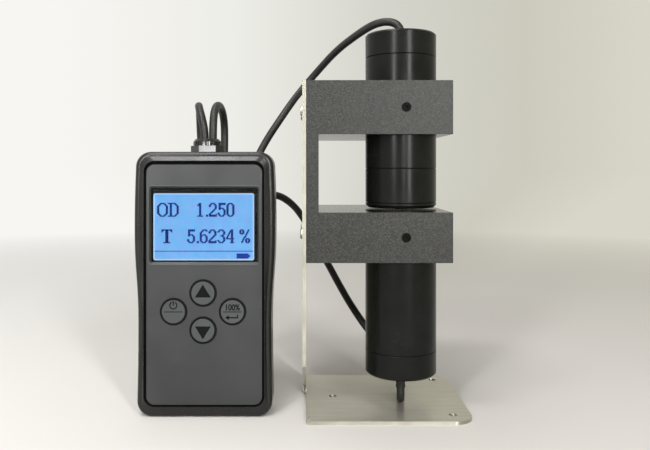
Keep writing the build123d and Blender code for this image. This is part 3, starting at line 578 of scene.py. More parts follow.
def select_only(piece: bpy.types.Object) -> None:
    """Select one object alone and make it the active one."""
    bpy.ops.object.select_all(action="DESELECT")
    piece.select_set(True)
    bpy.context.view_layer.objects.active = piece


class Work:
    """A mesh piece on the bench: a primitive at its place, shaped by operators in edit mode."""

    def __init__(self, piece: bpy.types.Object, name: str) -> None:
        """Take an object onto the bench and set its place into its mesh.

        Args:
            piece: The object.
            name: The piece's name.
        """
        self.piece = piece
        piece.name = name
        piece.data.name = name
        select_only(piece)
        bpy.ops.object.transform_apply(location=True, rotation=True, scale=True)

    @classmethod
    def block(cls, name: str, low: Sequence[float], high: Sequence[float]) -> "Work":
        """Start from a box between two corners.

        Args:
            name: The piece's name.
            low: Its lowest corner.
            high: Its highest corner.

        Returns:
            The piece on the bench.
        """
        middle = [(a + b) / 2 for a, b in zip(low, high)]
        size = [b - a for a, b in zip(low, high)]
        bpy.ops.object.select_all(action="DESELECT")
        bpy.ops.mesh.primitive_cube_add(size=1, location=middle, scale=size)
        return cls(bpy.context.object, name)

    @classmethod
    def slab(cls, name: str, low: Sequence[float], high: Sequence[float], corner: float,
             segments: int = 8) -> "Work":
        """Start from a box whose four edges along Y are rounded.

        Args:
            name: The piece's name.
            low: Its lowest corner.
            high: Its highest corner.
            corner: Radius of the rounded edges.
            segments: Steps in their round.

        Returns:
            The piece on the bench.
        """
        work = cls.block(name, low, high)
        work.pick("EDGE", lambda at: min(abs(at.x - low[0]), abs(at.x - high[0])) < NEAR
                  and min(abs(at.z - low[2]), abs(at.z - high[2])) < NEAR)
        return work.bevel(corner, segments)

    @classmethod
    def rod(cls, name: str, radius: float, start: Point, length: float, axis: Axis = Axis.Z,
            sides: int = 64) -> "Work":
        """Start from a round or many-sided bar.

        Args:
            name: The piece's name.
            radius: Its radius, out to its corners.
            start: The middle of its first end.
            length: How far it runs along its axis.
            axis: The axis that it lies along.
            sides: How many sides it has.

        Returns:
            The piece on the bench.
        """
        turn = {Axis.Y: (-math.pi / 2, 0, 0), Axis.Z: (0, 0, 0)}[axis]
        middle = list(start)
        middle[axis.value] += length / 2
        bpy.ops.object.select_all(action="DESELECT")
        bpy.ops.mesh.primitive_cone_add(vertices=sides, radius1=radius, radius2=radius, depth=length,
                                        location=middle, rotation=turn)
        return cls(bpy.context.object, name)

    def pick(self, kind: str, test: Callable[[Vector], bool]) -> "Work":
        """Enter edit mode and select elements by their place.

        Args:
            kind: VERT, EDGE or FACE.
            test: Says of an element's middle whether it is wanted.

        Returns:
            The same piece.
        """
        select_only(self.piece)
        bpy.ops.object.mode_set(mode="EDIT")
        bpy.ops.mesh.select_mode(type=kind)
        bpy.ops.mesh.select_all(action="DESELECT")
        mesh = bmesh.from_edit_mesh(self.piece.data)
        elements = {"VERT": mesh.verts, "EDGE": mesh.edges, "FACE": mesh.faces}[kind]
        for element in elements:
            corners = [element] if kind == "VERT" else element.verts
            middle = sum((corner.co for corner in corners), Vector()) / len(corners)
            element.select = bool(test(middle))
        mesh.select_flush_mode()
        bmesh.update_edit_mesh(self.piece.data)
        return self

    def done(self) -> "Work":
        """Leave edit mode."""
        bpy.ops.object.mode_set(mode="OBJECT")
        return self

    def bevel(self, width: float, segments: int = 3, corners: bool = False) -> "Work":
        """Round what is selected, then leave edit mode.

        Args:
            width: The bevel's width.
            segments: Steps in its round.
            corners: Whether corners are rounded in place of edges.

        Returns:
            The same piece.
        """
        bpy.ops.mesh.bevel(offset=width, segments=segments, affect="VERTICES" if corners else "EDGES")
        return self.done()

    def extrude(self, way: Sequence[float]) -> "Work":
        """Draw what is selected out along a direction and stay in edit mode."""
        bpy.ops.mesh.extrude_region_move(TRANSFORM_OT_translate={"value": tuple(way)})
        return self

    def shift(self, way: Sequence[float]) -> "Work":
        """Move what is selected and leave edit mode."""
        bpy.ops.transform.translate(value=tuple(way))
        return self.done()

    def resize(self, share: Sequence[float], about: Sequence[float]) -> "Work":
        """Scale what is selected about a point and leave edit mode."""
        bpy.ops.transform.resize(value=tuple(share), center_override=tuple(about))
        return self.done()

    def slice(self, height: float) -> "Work":
        """Cut a level ring of edges through the whole piece."""
        self.pick("FACE", lambda at: True)
        bpy.ops.mesh.bisect(plane_co=(0, 0, height), plane_no=(0, 0, 1))
        return self.done()

    def modify(self, kind: str, **settings: object) -> "Work":
        """Add a modifier and apply it.

        Args:
            kind: The modifier's type.
            settings: Its properties.

        Returns:
            The same piece.
        """
        select_only(self.piece)
        made = self.piece.modifiers.new(kind.lower(), kind)
        for key, value in settings.items():
            setattr(made, key, value)
        bpy.ops.object.modifier_apply(modifier=made.name)
        return self

    def cut(self, *tools: "Work") -> "Work":
        """Take other pieces' shapes away from this one; the tools are used up."""
        for tool in tools:
            self.modify("BOOLEAN", operation="DIFFERENCE", solver="EXACT", object=tool.piece)
            bpy.data.objects.remove(tool.piece)
        return self

    def soften(self, width: float, segments: int = 2) -> "Work":
        """Round every edge at which the surface turns by more than 30 degrees."""
        return self.modify("BEVEL", width=width, segments=segments, limit_method="ANGLE",
                           angle_limit=math.radians(30), harden_normals=False)

    def take(self, *others: "Work") -> "Work":
        """Join other pieces to this one."""
        select_only(self.piece)
        for other in others:
            other.piece.select_set(True)
        bpy.ops.object.join()
        return self

    def finish(self, finish: Finish, slot: str, body: Body = Body.ROOT,
               replaces: Sequence[str] = (), smooth: float = 35.0) -> bpy.types.Object:
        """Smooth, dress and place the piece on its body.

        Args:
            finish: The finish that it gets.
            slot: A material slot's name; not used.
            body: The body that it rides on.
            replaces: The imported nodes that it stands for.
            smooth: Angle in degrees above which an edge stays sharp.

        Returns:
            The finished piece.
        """
        select_only(self.piece)
        bpy.ops.object.shade_smooth_by_angle(angle=math.radians(smooth))
        self.modify("WEIGHTED_NORMAL", keep_sharp=True)
        finish.dress(self.piece)
        if replaces:
            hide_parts(*replaces)
        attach(self.piece, body.value)
        LOG.info("%s: %d faces", self.piece.name, len(self.piece.data.polygons))
        return self.piece


# Stand and bracket

@dataclass
class Stand:
    """One steel sheet bent to a wall and a base, its wall cut back at the foot."""

    sheet: float = 2.0 * MM
    bend: float = 1.0 * MM
    far_corner: float = 11.0 * MM
    near_corner: float = 2.0 * MM
    cut_height: float = 31.4 * MM
    cut_depth: float = 53.0 * MM
    cut_lip: float = 4.6 * MM
    hole_r: float = 2.25 * MM
    holes: Sequence[Tuple[float, float]] = ((18.05 * MM, 0), (83.25 * MM, -32 * MM), (83.25 * MM, 32 * MM))
    edge: float = 0.18 * MM

    def build(self) -> bpy.types.Object:
        """Bend, trim and drill the sheet.

        Returns:
            The finished sheet.
        """
        low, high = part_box("stand_plate")
        wall_x = low.x + self.sheet
        work = self.bent_sheet(low, high, wall_x)
        spare = self.sheet
        neck_y = low.y + self.cut_depth
        slope = (self.cut_height - self.cut_lip) / self.cut_depth
        front = (low.x - spare, low.y - spare, low.z - spare)
        wedge = Work.block("wedge", front, (wall_x + 2 * NEAR, neck_y, self.cut_height + slope * spare))
        wedge.pick("VERT", lambda at: at.y > neck_y - NEAR and at.z > 0)
        wedge.shift((0, 0, self.cut_lip - self.cut_height - slope * spare))
        root = Work.block("root_cut", (wall_x - self.bend, low.y - spare, self.sheet),
                          (wall_x + self.bend + 2 * NEAR, neck_y, self.cut_lip))
        work.cut(wedge, root)
        corner = (wall_x, low.y)
        work.pick("EDGE", lambda at: math.dist(at.xy, corner) < 10 * NEAR and low.z < at.z < self.sheet)
        work.bevel(self.near_corner, segments=8)
        for x, y in self.holes:
            work.cut(Work.rod("drill", self.hole_r, (x, y, -spare), 3 * spare, sides=48))
        work.soften(self.edge)
        return work.finish(Finishes.STEEL, "stand_steel", replaces=["stand_plate"])

    def bent_sheet(self, low: Vector, high: Vector, wall_x: float) -> Work:
        """The sheet before it is trimmed: base drawn up into a wall, bent and thickened.

        Args:
            low: The sheet's lowest corner.
            high: Its highest corner.
            wall_x: The wall's inner face.

        Returns:
            The sheet on the bench.
        """
        middle = ((low.x + high.x) / 2, (low.y + high.y) / 2, low.z)
        bpy.ops.object.select_all(action="DESELECT")
        bpy.ops.mesh.primitive_plane_add(size=1, location=middle)
        bpy.context.object.scale = (high.x - low.x, high.y - low.y, 1)
        work = Work(bpy.context.object, "stand_sheet")
        work.pick("VERT", lambda at: at.x > high.x - NEAR).bevel(self.far_corner, segments=16, corners=True)
        work.pick("EDGE", lambda at: at.x < low.x + NEAR).extrude((0, 0, high.z - low.z)).done()
        work.pick("EDGE", lambda at: at.x < low.x + NEAR and at.z < low.z + NEAR)
        work.bevel(self.bend + self.sheet, segments=10)
        work.pick("FACE", lambda at: True)
        bpy.ops.mesh.normals_make_consistent(inside=False)
        work.done()
        return work.modify("SOLIDIFY", thickness=self.sheet, offset=self.thick_side(work),
                           use_even_offset=True)

    def thick_side(self, work: Work) -> float:
        """The side on which the thickness goes, so that the sheet's outside stays in place.

        Args:
            work: The sheet before it is thickened.

        Returns:
            The solidify modifier's offset.
        """
        base = max(work.piece.data.polygons, key=lambda face: face.normal.z ** 2 * face.area)
        return 1.0 if base.normal.z > 0 else -1.0


@dataclass
class Bracket:
    """The C-shaped block that carries the heads."""

    leg: float = 6.8 * MM
    window: Tuple[float, float] = (114.4 * MM, 156.6 * MM)
    head: Tuple[float, float] = (56.05 * MM, -19.25 * MM)
    bore_r: float = 20.05 * MM
    screw_hole_r: float = 2.55 * MM
    edge: float = 0.45 * MM

    def build(self) -> bpy.types.Object:
        """Mill the block, bore it for the heads and break its edges.

        Returns:
            The finished bracket.
        """
        low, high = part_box("head_bracket")
        spare = self.leg
        work = Work.block("bracket_block", low, high)
        opening = Work.block("opening", (low.x + self.leg, low.y - spare, self.window[0]),
                             (high.x + spare, high.y + spare, self.window[1]))
        bore = Work.rod("bore", self.bore_r, (*self.head, low.z - spare), high.z - low.z + 2 * spare,
                        sides=128)
        work.cut(opening, bore)
        arms = ((self.window[1] + high.z) / 2, (self.window[0] + low.z) / 2)
        for z in arms:
            front = (self.head[0], low.y - spare, z)
            work.cut(Work.rod("drill", self.screw_hole_r, front, 2 * spare, Axis.Y, sides=40))
        work.soften(self.edge, segments=3)
        return work.finish(Finishes.COAT, "bracket_coat", replaces=["head_bracket"])


# Display and keys

class Glyphs:
    """Letters and digits of the display, drawn as rows of dots."""

    SHAPES: Dict[str, Sequence[str]] = {
        "0": ["..####..", ".##..##.", "##....##", "##....##", "##....##", "##....##", "##....##",
              "##....##", "##....##", "##....##", "##....##", "##....##", ".##..##.", "..####.."],
        "1": ["...##...", "..###...", ".####...", "...##...", "...##...", "...##...", "...##...",
              "...##...", "...##...", "...##...", "...##...", "...##...", "...##...", ".######."],
        "2": ["..####..", ".##..##.", "##....##", "##....##", "......##", "......##", ".....##.",
              "....##..", "...##...", "..##....", ".##.....", "##.....#", "########", "########"],
        "3": ["..####..", ".##..##.", "##....##", "......##", "......##", ".....##.", "...###..",
              ".....##.", "......##", "......##", "......##", "##....##", ".##..##.", "..####.."],
        "4": [".....##.", "....###.", "...####.", "...#.##.", "..##.##.", "..#..##.", ".##..##.",
              ".#...##.", "##...##.", "########", ".....##.", ".....##.", ".....##.", "....####"],
        "5": [".#######", ".#######", ".##.....", ".##.....", ".##.....", ".#####..", ".##..##.",
              "......##", "......##", "......##", "##....##", "##....##", ".##..##.", "..####.."],
        "6": ["...####.", "..##..##", ".##.....", "##......", "##......", "##.###..", "###..##.",
              "##....##", "##....##", "##....##", "##....##", "##....##", ".##..##.", "..####.."],
        ".": ["..."] * 12 + [".##", ".##"],
        "O": ["...#####...", "..##...##..", ".##.....##.", "##.......##", "##.......##",
              "##.......##", "##.......##", "##.......##", "##.......##", "##.......##",
              "##.......##", ".##.....##.", "..##...##..", "...#####..."],
        "D": ["########...", "..##...##..", "..##....##.", "..##.....##", "..##.....##",
              "..##.....##", "..##.....##", "..##.....##", "..##.....##", "..##.....##",
              "..##.....##", "..##....##.", "..##...##..", "########..."],
        "T": ["###########", "##..###..##", "#...###...#", "....###....", "....###....",
              "....###....", "....###....", "....###....", "....###....", "....###....",
              "....###....", "....###....", "....###....", "..#######.."],
        "%": [".###.....#.", "##.##...##.", "##.##...#..", "##.##..##..", ".###...#...",
              "......##...", "......#....", ".....##....", "....##.....", "....#..###.",
              "...##.##.##", "...#..##.##", "..##..##.##", "..#....###."],
    }

    @classmethod
    def dots(cls, text: str, pitch: float) -> List[Tuple[float, float]]:
        """Where the dots of a word lie.

        Args:
            text: The word.
            pitch: Distance from dot to dot.

        Returns:
            Across and up of each dot, from the word's lower left corner.
        """
        spots = []
        start = 0
        for letter in text:
            rows = cls.SHAPES[letter]
            for up, row in enumerate(reversed(rows)):
                spots += [((start + across) * pitch, up * pitch)
                          for across, mark in enumerate(row) if mark == "#"]
            gap = 0 if letter.isalpha() else 1
            start += len(rows[0]) + gap
        return spots


@dataclass
class Display:
    """The display's glass, its black frame, and the dots that show on its lit face."""

    frame: float = 0.12 * MM
    frame_gap: float = 0.05 * MM
    glass_back: float = 0.35 * MM
    glass_edge: float = 0.1 * MM
    window_low: Tuple[float, float] = (-83.1 * MM, 86.9 * MM)
    window_high: Tuple[float, float] = (-26.9 * MM, 124.3 * MM)
    window_r: float = 1.1 * MM
    lip_low: Tuple[float, float] = (-85.55 * MM, 84.7 * MM)
    lip_high: Tuple[float, float] = (-23.15 * MM, 128.9 * MM)
    lip_width: float = 1.55 * MM
    lip_rise: float = 0.5 * MM
    lip_outer_r: float = 2.4 * MM
    lip_inner_r: float = 1.4 * MM
    lip_flare: Tuple[float, float, float] = (1.05, 1, 1.07)
    lip_edge: float = 0.06 * MM
    pitch: float = 0.545 * MM
    dot: float = 0.70 * MM
    dot_depth: float = 0.05 * MM
    words: Sequence[Tuple[str, float, float]] = (
        ("OD", -81.1 * MM, 111.2 * MM), ("1.250", -59.3 * MM, 111.2 * MM),
        ("T", -78.7 * MM, 96.4 * MM), ("5.6234", -64.4 * MM, 96.4 * MM), ("%", -35.2 * MM, 96.4 * MM))
    rule_z: float = 91.8 * MM
    rule_x: Tuple[float, float] = (-82.5 * MM, -27.4 * MM)
    rule_width: float = 0.4 * MM
    cell_low: Tuple[float, float] = (-36.7 * MM, 87.9 * MM)
    cell_high: Tuple[float, float] = (-30.0 * MM, 90.7 * MM)
    nub_inset: float = 0.8 * MM
    nub_length: float = 0.7 * MM

    def build(self) -> List[bpy.types.Object]:
        """Frame, glass, and what the display shows.

        Returns:
            The finished pieces.
        """
        low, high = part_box("display_lens")
        face = high.y - self.glass_back
        glass = Work.block("display_glass", low, (high.x, face, high.z)).soften(self.glass_edge)
        mask = Work.block("display_frame", (low.x, face + self.frame_gap, low.z),
                          (high.x, face + self.frame_gap + self.frame, high.z))
        mask.cut(Work.slab("hole", (self.window_low[0], low.y, self.window_low[1]),
                           (self.window_high[0], high.y, self.window_high[1]), self.window_r))
        return [
            glass.finish(Finishes.WINDOW, "clear_glass", replaces=["display_lens"]),
            mask.finish(Finishes.INK_BLACK, "panel_plastic"),
            self.lip(),
            self.readout(high.y - self.dot_depth),
        ]

    def lip(self) -> bpy.types.Object:
        """The raised lip round the display, sloping in to its glass.

        Returns:
            The finished piece.
        """
        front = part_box("meter_panel")[0].y
        (left, foot), (right, top) = self.lip_low, self.lip_high
        ring = Work.slab("display_lip", (left, front - self.lip_rise, foot), (right, front, top),
                         self.lip_outer_r)
        spare = 2 * self.lip_rise
        hole = Work.slab("lip_hole", (left + self.lip_width, front - spare, foot + self.lip_width),
                         (right - self.lip_width, front + spare, top - self.lip_width), self.lip_inner_r)
        hole.pick("VERT", lambda at: at.y < front)
        hole.resize(self.lip_flare, ((left + right) / 2, front, (foot + top) / 2))
        ring.cut(hole)
        ring.soften(self.lip_edge)
        return ring.finish(Finishes.LIP, "panel_plastic")

    def readout(self, front: float) -> bpy.types.Object:
        """All the dots, the rule and the cell, as one piece.

        Args:
            front: Where their front face lies.

        Returns:
            The finished piece.
        """
        back = front + self.dot_depth
        pattern = Work.block("dot", (0, front, 0), (self.dot, back, self.dot))
        dots = []
        for word, x, z in self.words:
            for across, up in Glyphs.dots(word, self.pitch):
                dot = pattern.piece.copy()
                dot.data = pattern.piece.data.copy()
                dot.data.transform(Matrix.Translation((x + across, 0, z + up)))
                bpy.context.scene.collection.objects.link(dot)
                dots.append(dot)
        bpy.data.objects.remove(pattern.piece)
        rule = Work.block("rule", (self.rule_x[0], front, self.rule_z),
                          (self.rule_x[1], back, self.rule_z + self.rule_width))
        cell = Work.block("cell", (self.cell_low[0], front, self.cell_low[1]),
                          (self.cell_high[0], back, self.cell_high[1]))
        nub = Work.block("nub", (self.cell_high[0], front, self.cell_low[1] + self.nub_inset),
                         (self.cell_high[0] + self.nub_length, back, self.cell_high[1] - self.nub_inset))
        rule.take(cell, nub)
        for dot in dots:
            dot.select_set(True)
        bpy.ops.object.join()
        rule.piece.name = rule.piece.data.name = "readout"
        return rule.finish(Finishes.INK_BLUE, "lcd")


@dataclass
class GrooveShadeRing:
    """Painted shade: a black ring in the groove between the panel and the front shell, standing for the
    groove's shadow.
    """

    side: float = 1.4 * MM
    above: float = 2.0 * MM
    under: float = 1.0 * MM
    recess: float = 0.8 * MM
    corner: float = 4.5 * MM

    def build(self) -> bpy.types.Object:
        """Lay the painted-shade ring round the panel.

        Returns:
            The finished piece.
        """
        low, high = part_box("meter_panel")
        low.y += self.recess
        ring = Work.slab("panel_seal", low - Vector((self.side - NEAR, 0, self.under - NEAR)),
                         high + Vector((self.side - NEAR, -2 * NEAR, self.above - NEAR)),
                         self.corner + self.side, segments=10)
        through = Vector((2 * NEAR, MM, 2 * NEAR))
        hole = Work.slab("seal_hole", low - through, high + through, self.corner, segments=10)
        return ring.cut(hole).finish(Finishes.GROOVE_SHADE, "panel_plastic")


@dataclass
class Symbols:
    """The printed signs on the four keys."""

    thick: float = 0.06 * MM
    centre: Tuple[float, float] = (-54.95 * MM, 58.9 * MM)
    rise: float = 10.3 * MM
    reach: float = 16.3 * MM
    arrow: Tuple[float, float] = (8.8 * MM, 7.0 * MM)
    # The triangles: how far their flat side lies towards the middle, and their rounding
    arrow_drop: float = 2.3 * MM
    arrow_tip: float = 0.02
    arrow_corner: float = 0.25 * MM
    # The dividing line's half width and half height
    line_half: Tuple[float, float] = (5.1 * MM, 0.24 * MM)
    # The power sign: its ring, and the half width and the height of the gap and of the bar
    ring_rise: float = 3.6 * MM
    ring_r: float = 2.25 * MM
    ring_hole_r: float = 1.6 * MM
    ring_gap: Tuple[float, float] = (0.85 * MM, 3 * MM)
    bar: Tuple[float, float] = (0.33 * MM, 2.5 * MM)
    # The figures for full scale
    text: str = "100%"
    text_size: float = 4.7 * MM
    text_weight: float = 0.13 * MM
    text_narrow: float = 0.82
    text_rise: float = 0.9 * MM
    # The return arrow under them: its bar, its upturned stem and its head
    hook_drop: float = 3.2 * MM
    hook_x: Tuple[float, float] = (-2.6 * MM, 3.2 * MM)
    hook_half: float = 0.36 * MM
    stem_x: float = 2.55 * MM
    stem_height: float = 1.8 * MM
    head_x: Tuple[float, float] = (-3.9 * MM, -1.9 * MM)
    head_half: float = 1.3 * MM
    head_tip: float = 0.05

    def build(self) -> List[bpy.types.Object]:
        """The two triangles, the power sign and the return sign.

        Returns:
            The finished pieces.
        """
        x, z = self.centre
        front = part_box("key_up")[0].y - self.thick / 2
        return [
            self.triangle("up_sign", x, z + self.rise - self.arrow_drop, front, 1, Body.UP_KEY),
            self.triangle("down_sign", x, z - self.rise + self.arrow_drop, front, -1, Body.DOWN_KEY),
            self.power_sign(x - self.reach, z, front),
            self.return_sign(x + self.reach, z, front),
        ]

    def triangle(self, name: str, x: float, base_z: float, front: float, way: int,
                 body: Body) -> bpy.types.Object:
        """A solid triangle that points up or down.

        Args:
            name: The piece's name.
            x: Its middle.
            base_z: Height of its flat side.
            front: Its front face.
            way: 1 for up, -1 for down.
            body: The key's body.

        Returns:
            The finished sign.
        """
        width, height = self.arrow
        tip = base_z + way * height
        low, high = sorted((base_z, tip))
        work = Work.block(name, (x - width / 2, front, low), (x + width / 2, front + self.thick, high))
        work.pick("VERT", lambda at: abs(at.z - tip) < NEAR)
        work.resize((self.arrow_tip, 1, 1), (x, front, tip))
        work.pick("EDGE", lambda at: abs(at.y - front - self.thick / 2) < NEAR / 10)
        work.bevel(self.arrow_corner, segments=4)
        return work.finish(Finishes.INK_BLACK, "key_rubber", body)

    def power_sign(self, x: float, z: float, front: float) -> bpy.types.Object:
        """An open ring with a bar through its gap, over a dividing line.

        Args:
            x: The key's middle.
            z: The key's middle height.
            front: The sign's front face.

        Returns:
            The finished sign.
        """
        up = z + self.ring_rise
        before = front - self.thick
        ring = Work.rod("power_sign", self.ring_r, (x, front, up), self.thick, Axis.Y, sides=48)
        ring.cut(Work.rod("ring_hole", self.ring_hole_r, (x, before, up), 3 * self.thick, Axis.Y, sides=48))
        gap, gap_height = self.ring_gap
        behind = front + 2 * self.thick
        ring.cut(Work.block("gap", (x - gap, before, up), (x + gap, behind, up + gap_height)))
        half, height = self.bar
        bar = Work.block("bar", (x - half, front, up), (x + half, front + self.thick, up + height))
        line = self.line(x, z, front)
        return ring.take(bar, line).finish(Finishes.INK_BLACK, "key_rubber", Body.POWER_KEY)

    def line(self, x: float, z: float, front: float) -> Work:
        """The dividing line across a key."""
        across, up = self.line_half
        return Work.block("line", (x - across, front, z - up), (x + across, front + self.thick, z + up))

    def return_sign(self, x: float, z: float, front: float) -> bpy.types.Object:
        """The full-scale sign over a return arrow.

        Args:
            x: The key's middle.
            z: The key's middle height.
            front: The sign's front face.

        Returns:
            The finished sign.
        """
        line = self.line(x, z, front)
        text = self.full_scale(x, z, front)
        low = z - self.hook_drop
        back = front + self.thick
        bar = Work.block("bar", (x + self.hook_x[0], front, low - self.hook_half),
                         (x + self.hook_x[1], back, low + self.hook_half))
        stem = Work.block("stem", (x + self.stem_x, front, low),
                          (x + self.hook_x[1], back, low + self.stem_height))
        head = Work.block("head", (x + self.head_x[0], front, low - self.head_half),
                          (x + self.head_x[1], back, low + self.head_half))
        head.pick("VERT", lambda at: at.x < x + self.head_x[0] + NEAR)
        head.resize((1, 1, self.head_tip), (x, front, low))
        line.take(text, bar, stem, head)
        line.piece.name = line.piece.data.name = "hundred_sign"
        return line.finish(Finishes.INK_BLACK, "key_rubber", Body.HUNDRED_KEY)

    def full_scale(self, x: float, z: float, front: float) -> Work:
        """The figures for full scale, above the key's middle.

        Args:
            x: The key's middle.
            z: The key's middle height.
            front: The figures' front face.

        Returns:
            The figures on the bench.
        """
        words = bpy.data.curves.new("full_scale", "FONT")
        words.body = self.text
        words.size = self.text_size
        words.offset = self.text_weight
        words.extrude = self.thick / 2
        words.align_x = "CENTER"
        made = bpy.data.objects.new("full_scale", words)
        bpy.context.scene.collection.objects.link(made)
        made.rotation_euler = (math.pi / 2, 0, 0)
        made.scale = (self.text_narrow, 1, 1)
        made.location = (x, front + self.thick / 2, z + self.text_rise)
        select_only(made)
        bpy.ops.object.convert(target="MESH")
        return Work(bpy.context.object, "full_scale")


# Gland and sleeve

@dataclass
class Gland:
    """The cable gland's ribbed nut."""

    centre: Tuple[float, float] = (-54.35 * MM, -19.25 * MM)
    ribs: int = 18
    rib_depth: float = 0.45 * MM
    shoulder: float = 2.4 * MM
    top_share: float = 0.84
    bore_r: float = 5.65 * MM
    edge: float = 0.18 * MM

    def build(self) -> bpy.types.Object:
        """Rib the nut, narrow its top and bore it.

        Returns:
            The finished nut.
        """
        low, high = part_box("gland_nut")
        radius = (high.x - low.x) / 2
        nut = Work.rod("gland_cap", radius, (*self.centre, low.z), high.z - low.z, sides=3 * self.ribs)
        shoulder = low.z + self.shoulder
        nut.slice(shoulder)
        nut.pick("FACE", lambda at: self.in_groove(at) and low.z + NEAR < at.z < shoulder)
        bpy.ops.mesh.extrude_region_shrink_fatten(TRANSFORM_OT_shrink_fatten={"value": -self.rib_depth})
        nut.done()
        nut.pick("VERT", lambda at: at.z > high.z - NEAR)
        nut.resize((self.top_share, self.top_share, 1), (*self.centre, high.z))
        nut.cut(Work.rod("bore", self.bore_r, (*self.centre, low.z - MM), high.z - low.z + 2 * MM))
        nut.soften(self.edge)
        return nut.finish(Finishes.NYLON, "gland_plastic", replaces=["gland_nut"])

    def in_groove(self, at: Vector) -> bool:
        """Whether a side face is a groove: one in three, the other two being a rib's."""
        turn = math.atan2(at.y - self.centre[1], at.x - self.centre[0]) / (2 * math.pi)
        return round(turn * 3 * self.ribs - 0.5) % 3 == 0


@dataclass
class Sleeve:
    """The rubber sleeve under the source head, creased where its lead bends."""

    radius: float = 2.7 * MM
    rings: int = 22
    crease: float = 0.1
    crease_turn: float = 2.4
    flatness: float = 0.6
    edge: float = 0.3 * MM

    def build(self) -> bpy.types.Object:
        """Ring the sleeve and draw its creases in.

        Returns:
            The finished sleeve.
        """
        low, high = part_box("source_sleeve")
        x, y = (low.x + high.x) / 2, (low.y + high.y) / 2
        work = Work.rod("cable_sleeve", self.radius, (x, y, low.z), high.z - low.z, sides=40)
        pitch = (high.z - low.z) / self.rings
        for ring in range(1, self.rings):
            work.slice(low.z + ring * pitch)
        for ring in range(1, self.rings):
            z = low.z + ring * pitch
            wave = 0.5 + 0.5 * math.sin(ring * self.crease_turn)
            drawn_in = 0 if ring % 3 == 1 else self.crease * wave
            work.pick("VERT", lambda at: abs(at.z - z) < NEAR)
            work.resize((1 - drawn_in, 1 - drawn_in * self.flatness, 1), (x, y, z))
        work.pick("EDGE", lambda at: at.z < low.z + NEAR or at.z > high.z - NEAR).bevel(self.edge)
        return work.finish(Finishes.SLEEVE, "sleeve_black", replaces=["source_sleeve"], smooth=70)


# Leads

@dataclass
class Lead:
    """A round lead that follows its route's points, which are in millimetres."""

    name: str
    node: str
    route: Sequence[Point]
    length: float
    diameter: float = 4.6 * MM
    steps: int = 16
    round_steps: int = 6
    order: int = 3

    def curve(self, name: str) -> bpy.types.Object:
        """The route as one open spline.

        Args:
            name: The new object's name.

        Returns:
            The curve, with no thickness.
        """
        data = bpy.data.curves.new(name, "CURVE")
        data.dimensions = "3D"
        data.resolution_u = self.steps
        spline = data.splines.new("NURBS")
        spline.points.add(len(self.route) - 1)
        for knot, spot in zip(spline.points, self.route):
            knot.co = (spot[0] * MM, spot[1] * MM, spot[2] * MM, 1)
        spline.order_u = self.order
        spline.use_endpoint_u = True
        made = bpy.data.objects.new(name, data)
        bpy.context.scene.collection.objects.link(made)
        return made

    def middle_line(self) -> List[Vector]:
        """Points along the route's spline.

        Returns:
            The points, from the gland to the head.
        """
        line = self.curve(f"{self.name}_route")
        mesh = bpy.data.meshes.new_from_object(line)
        points = [vertex.co.copy() for vertex in mesh.vertices]
        bpy.data.meshes.remove(mesh)
        bpy.data.objects.remove(line)
        return points

    def build(self) -> bpy.types.Object:
        """The lead as a round tube along its route.

        Returns:
            The finished tube.
        """
        made = self.curve(self.name)
        made.data.bevel_depth = self.diameter / 2
        made.data.bevel_resolution = self.round_steps
        select_only(made)
        bpy.ops.object.convert(target="MESH")
        tube = bpy.context.object
        bpy.ops.object.shade_smooth()
        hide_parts(self.node)
        Finishes.JACKET.dress(tube)
        self.middle_line()
        return tube


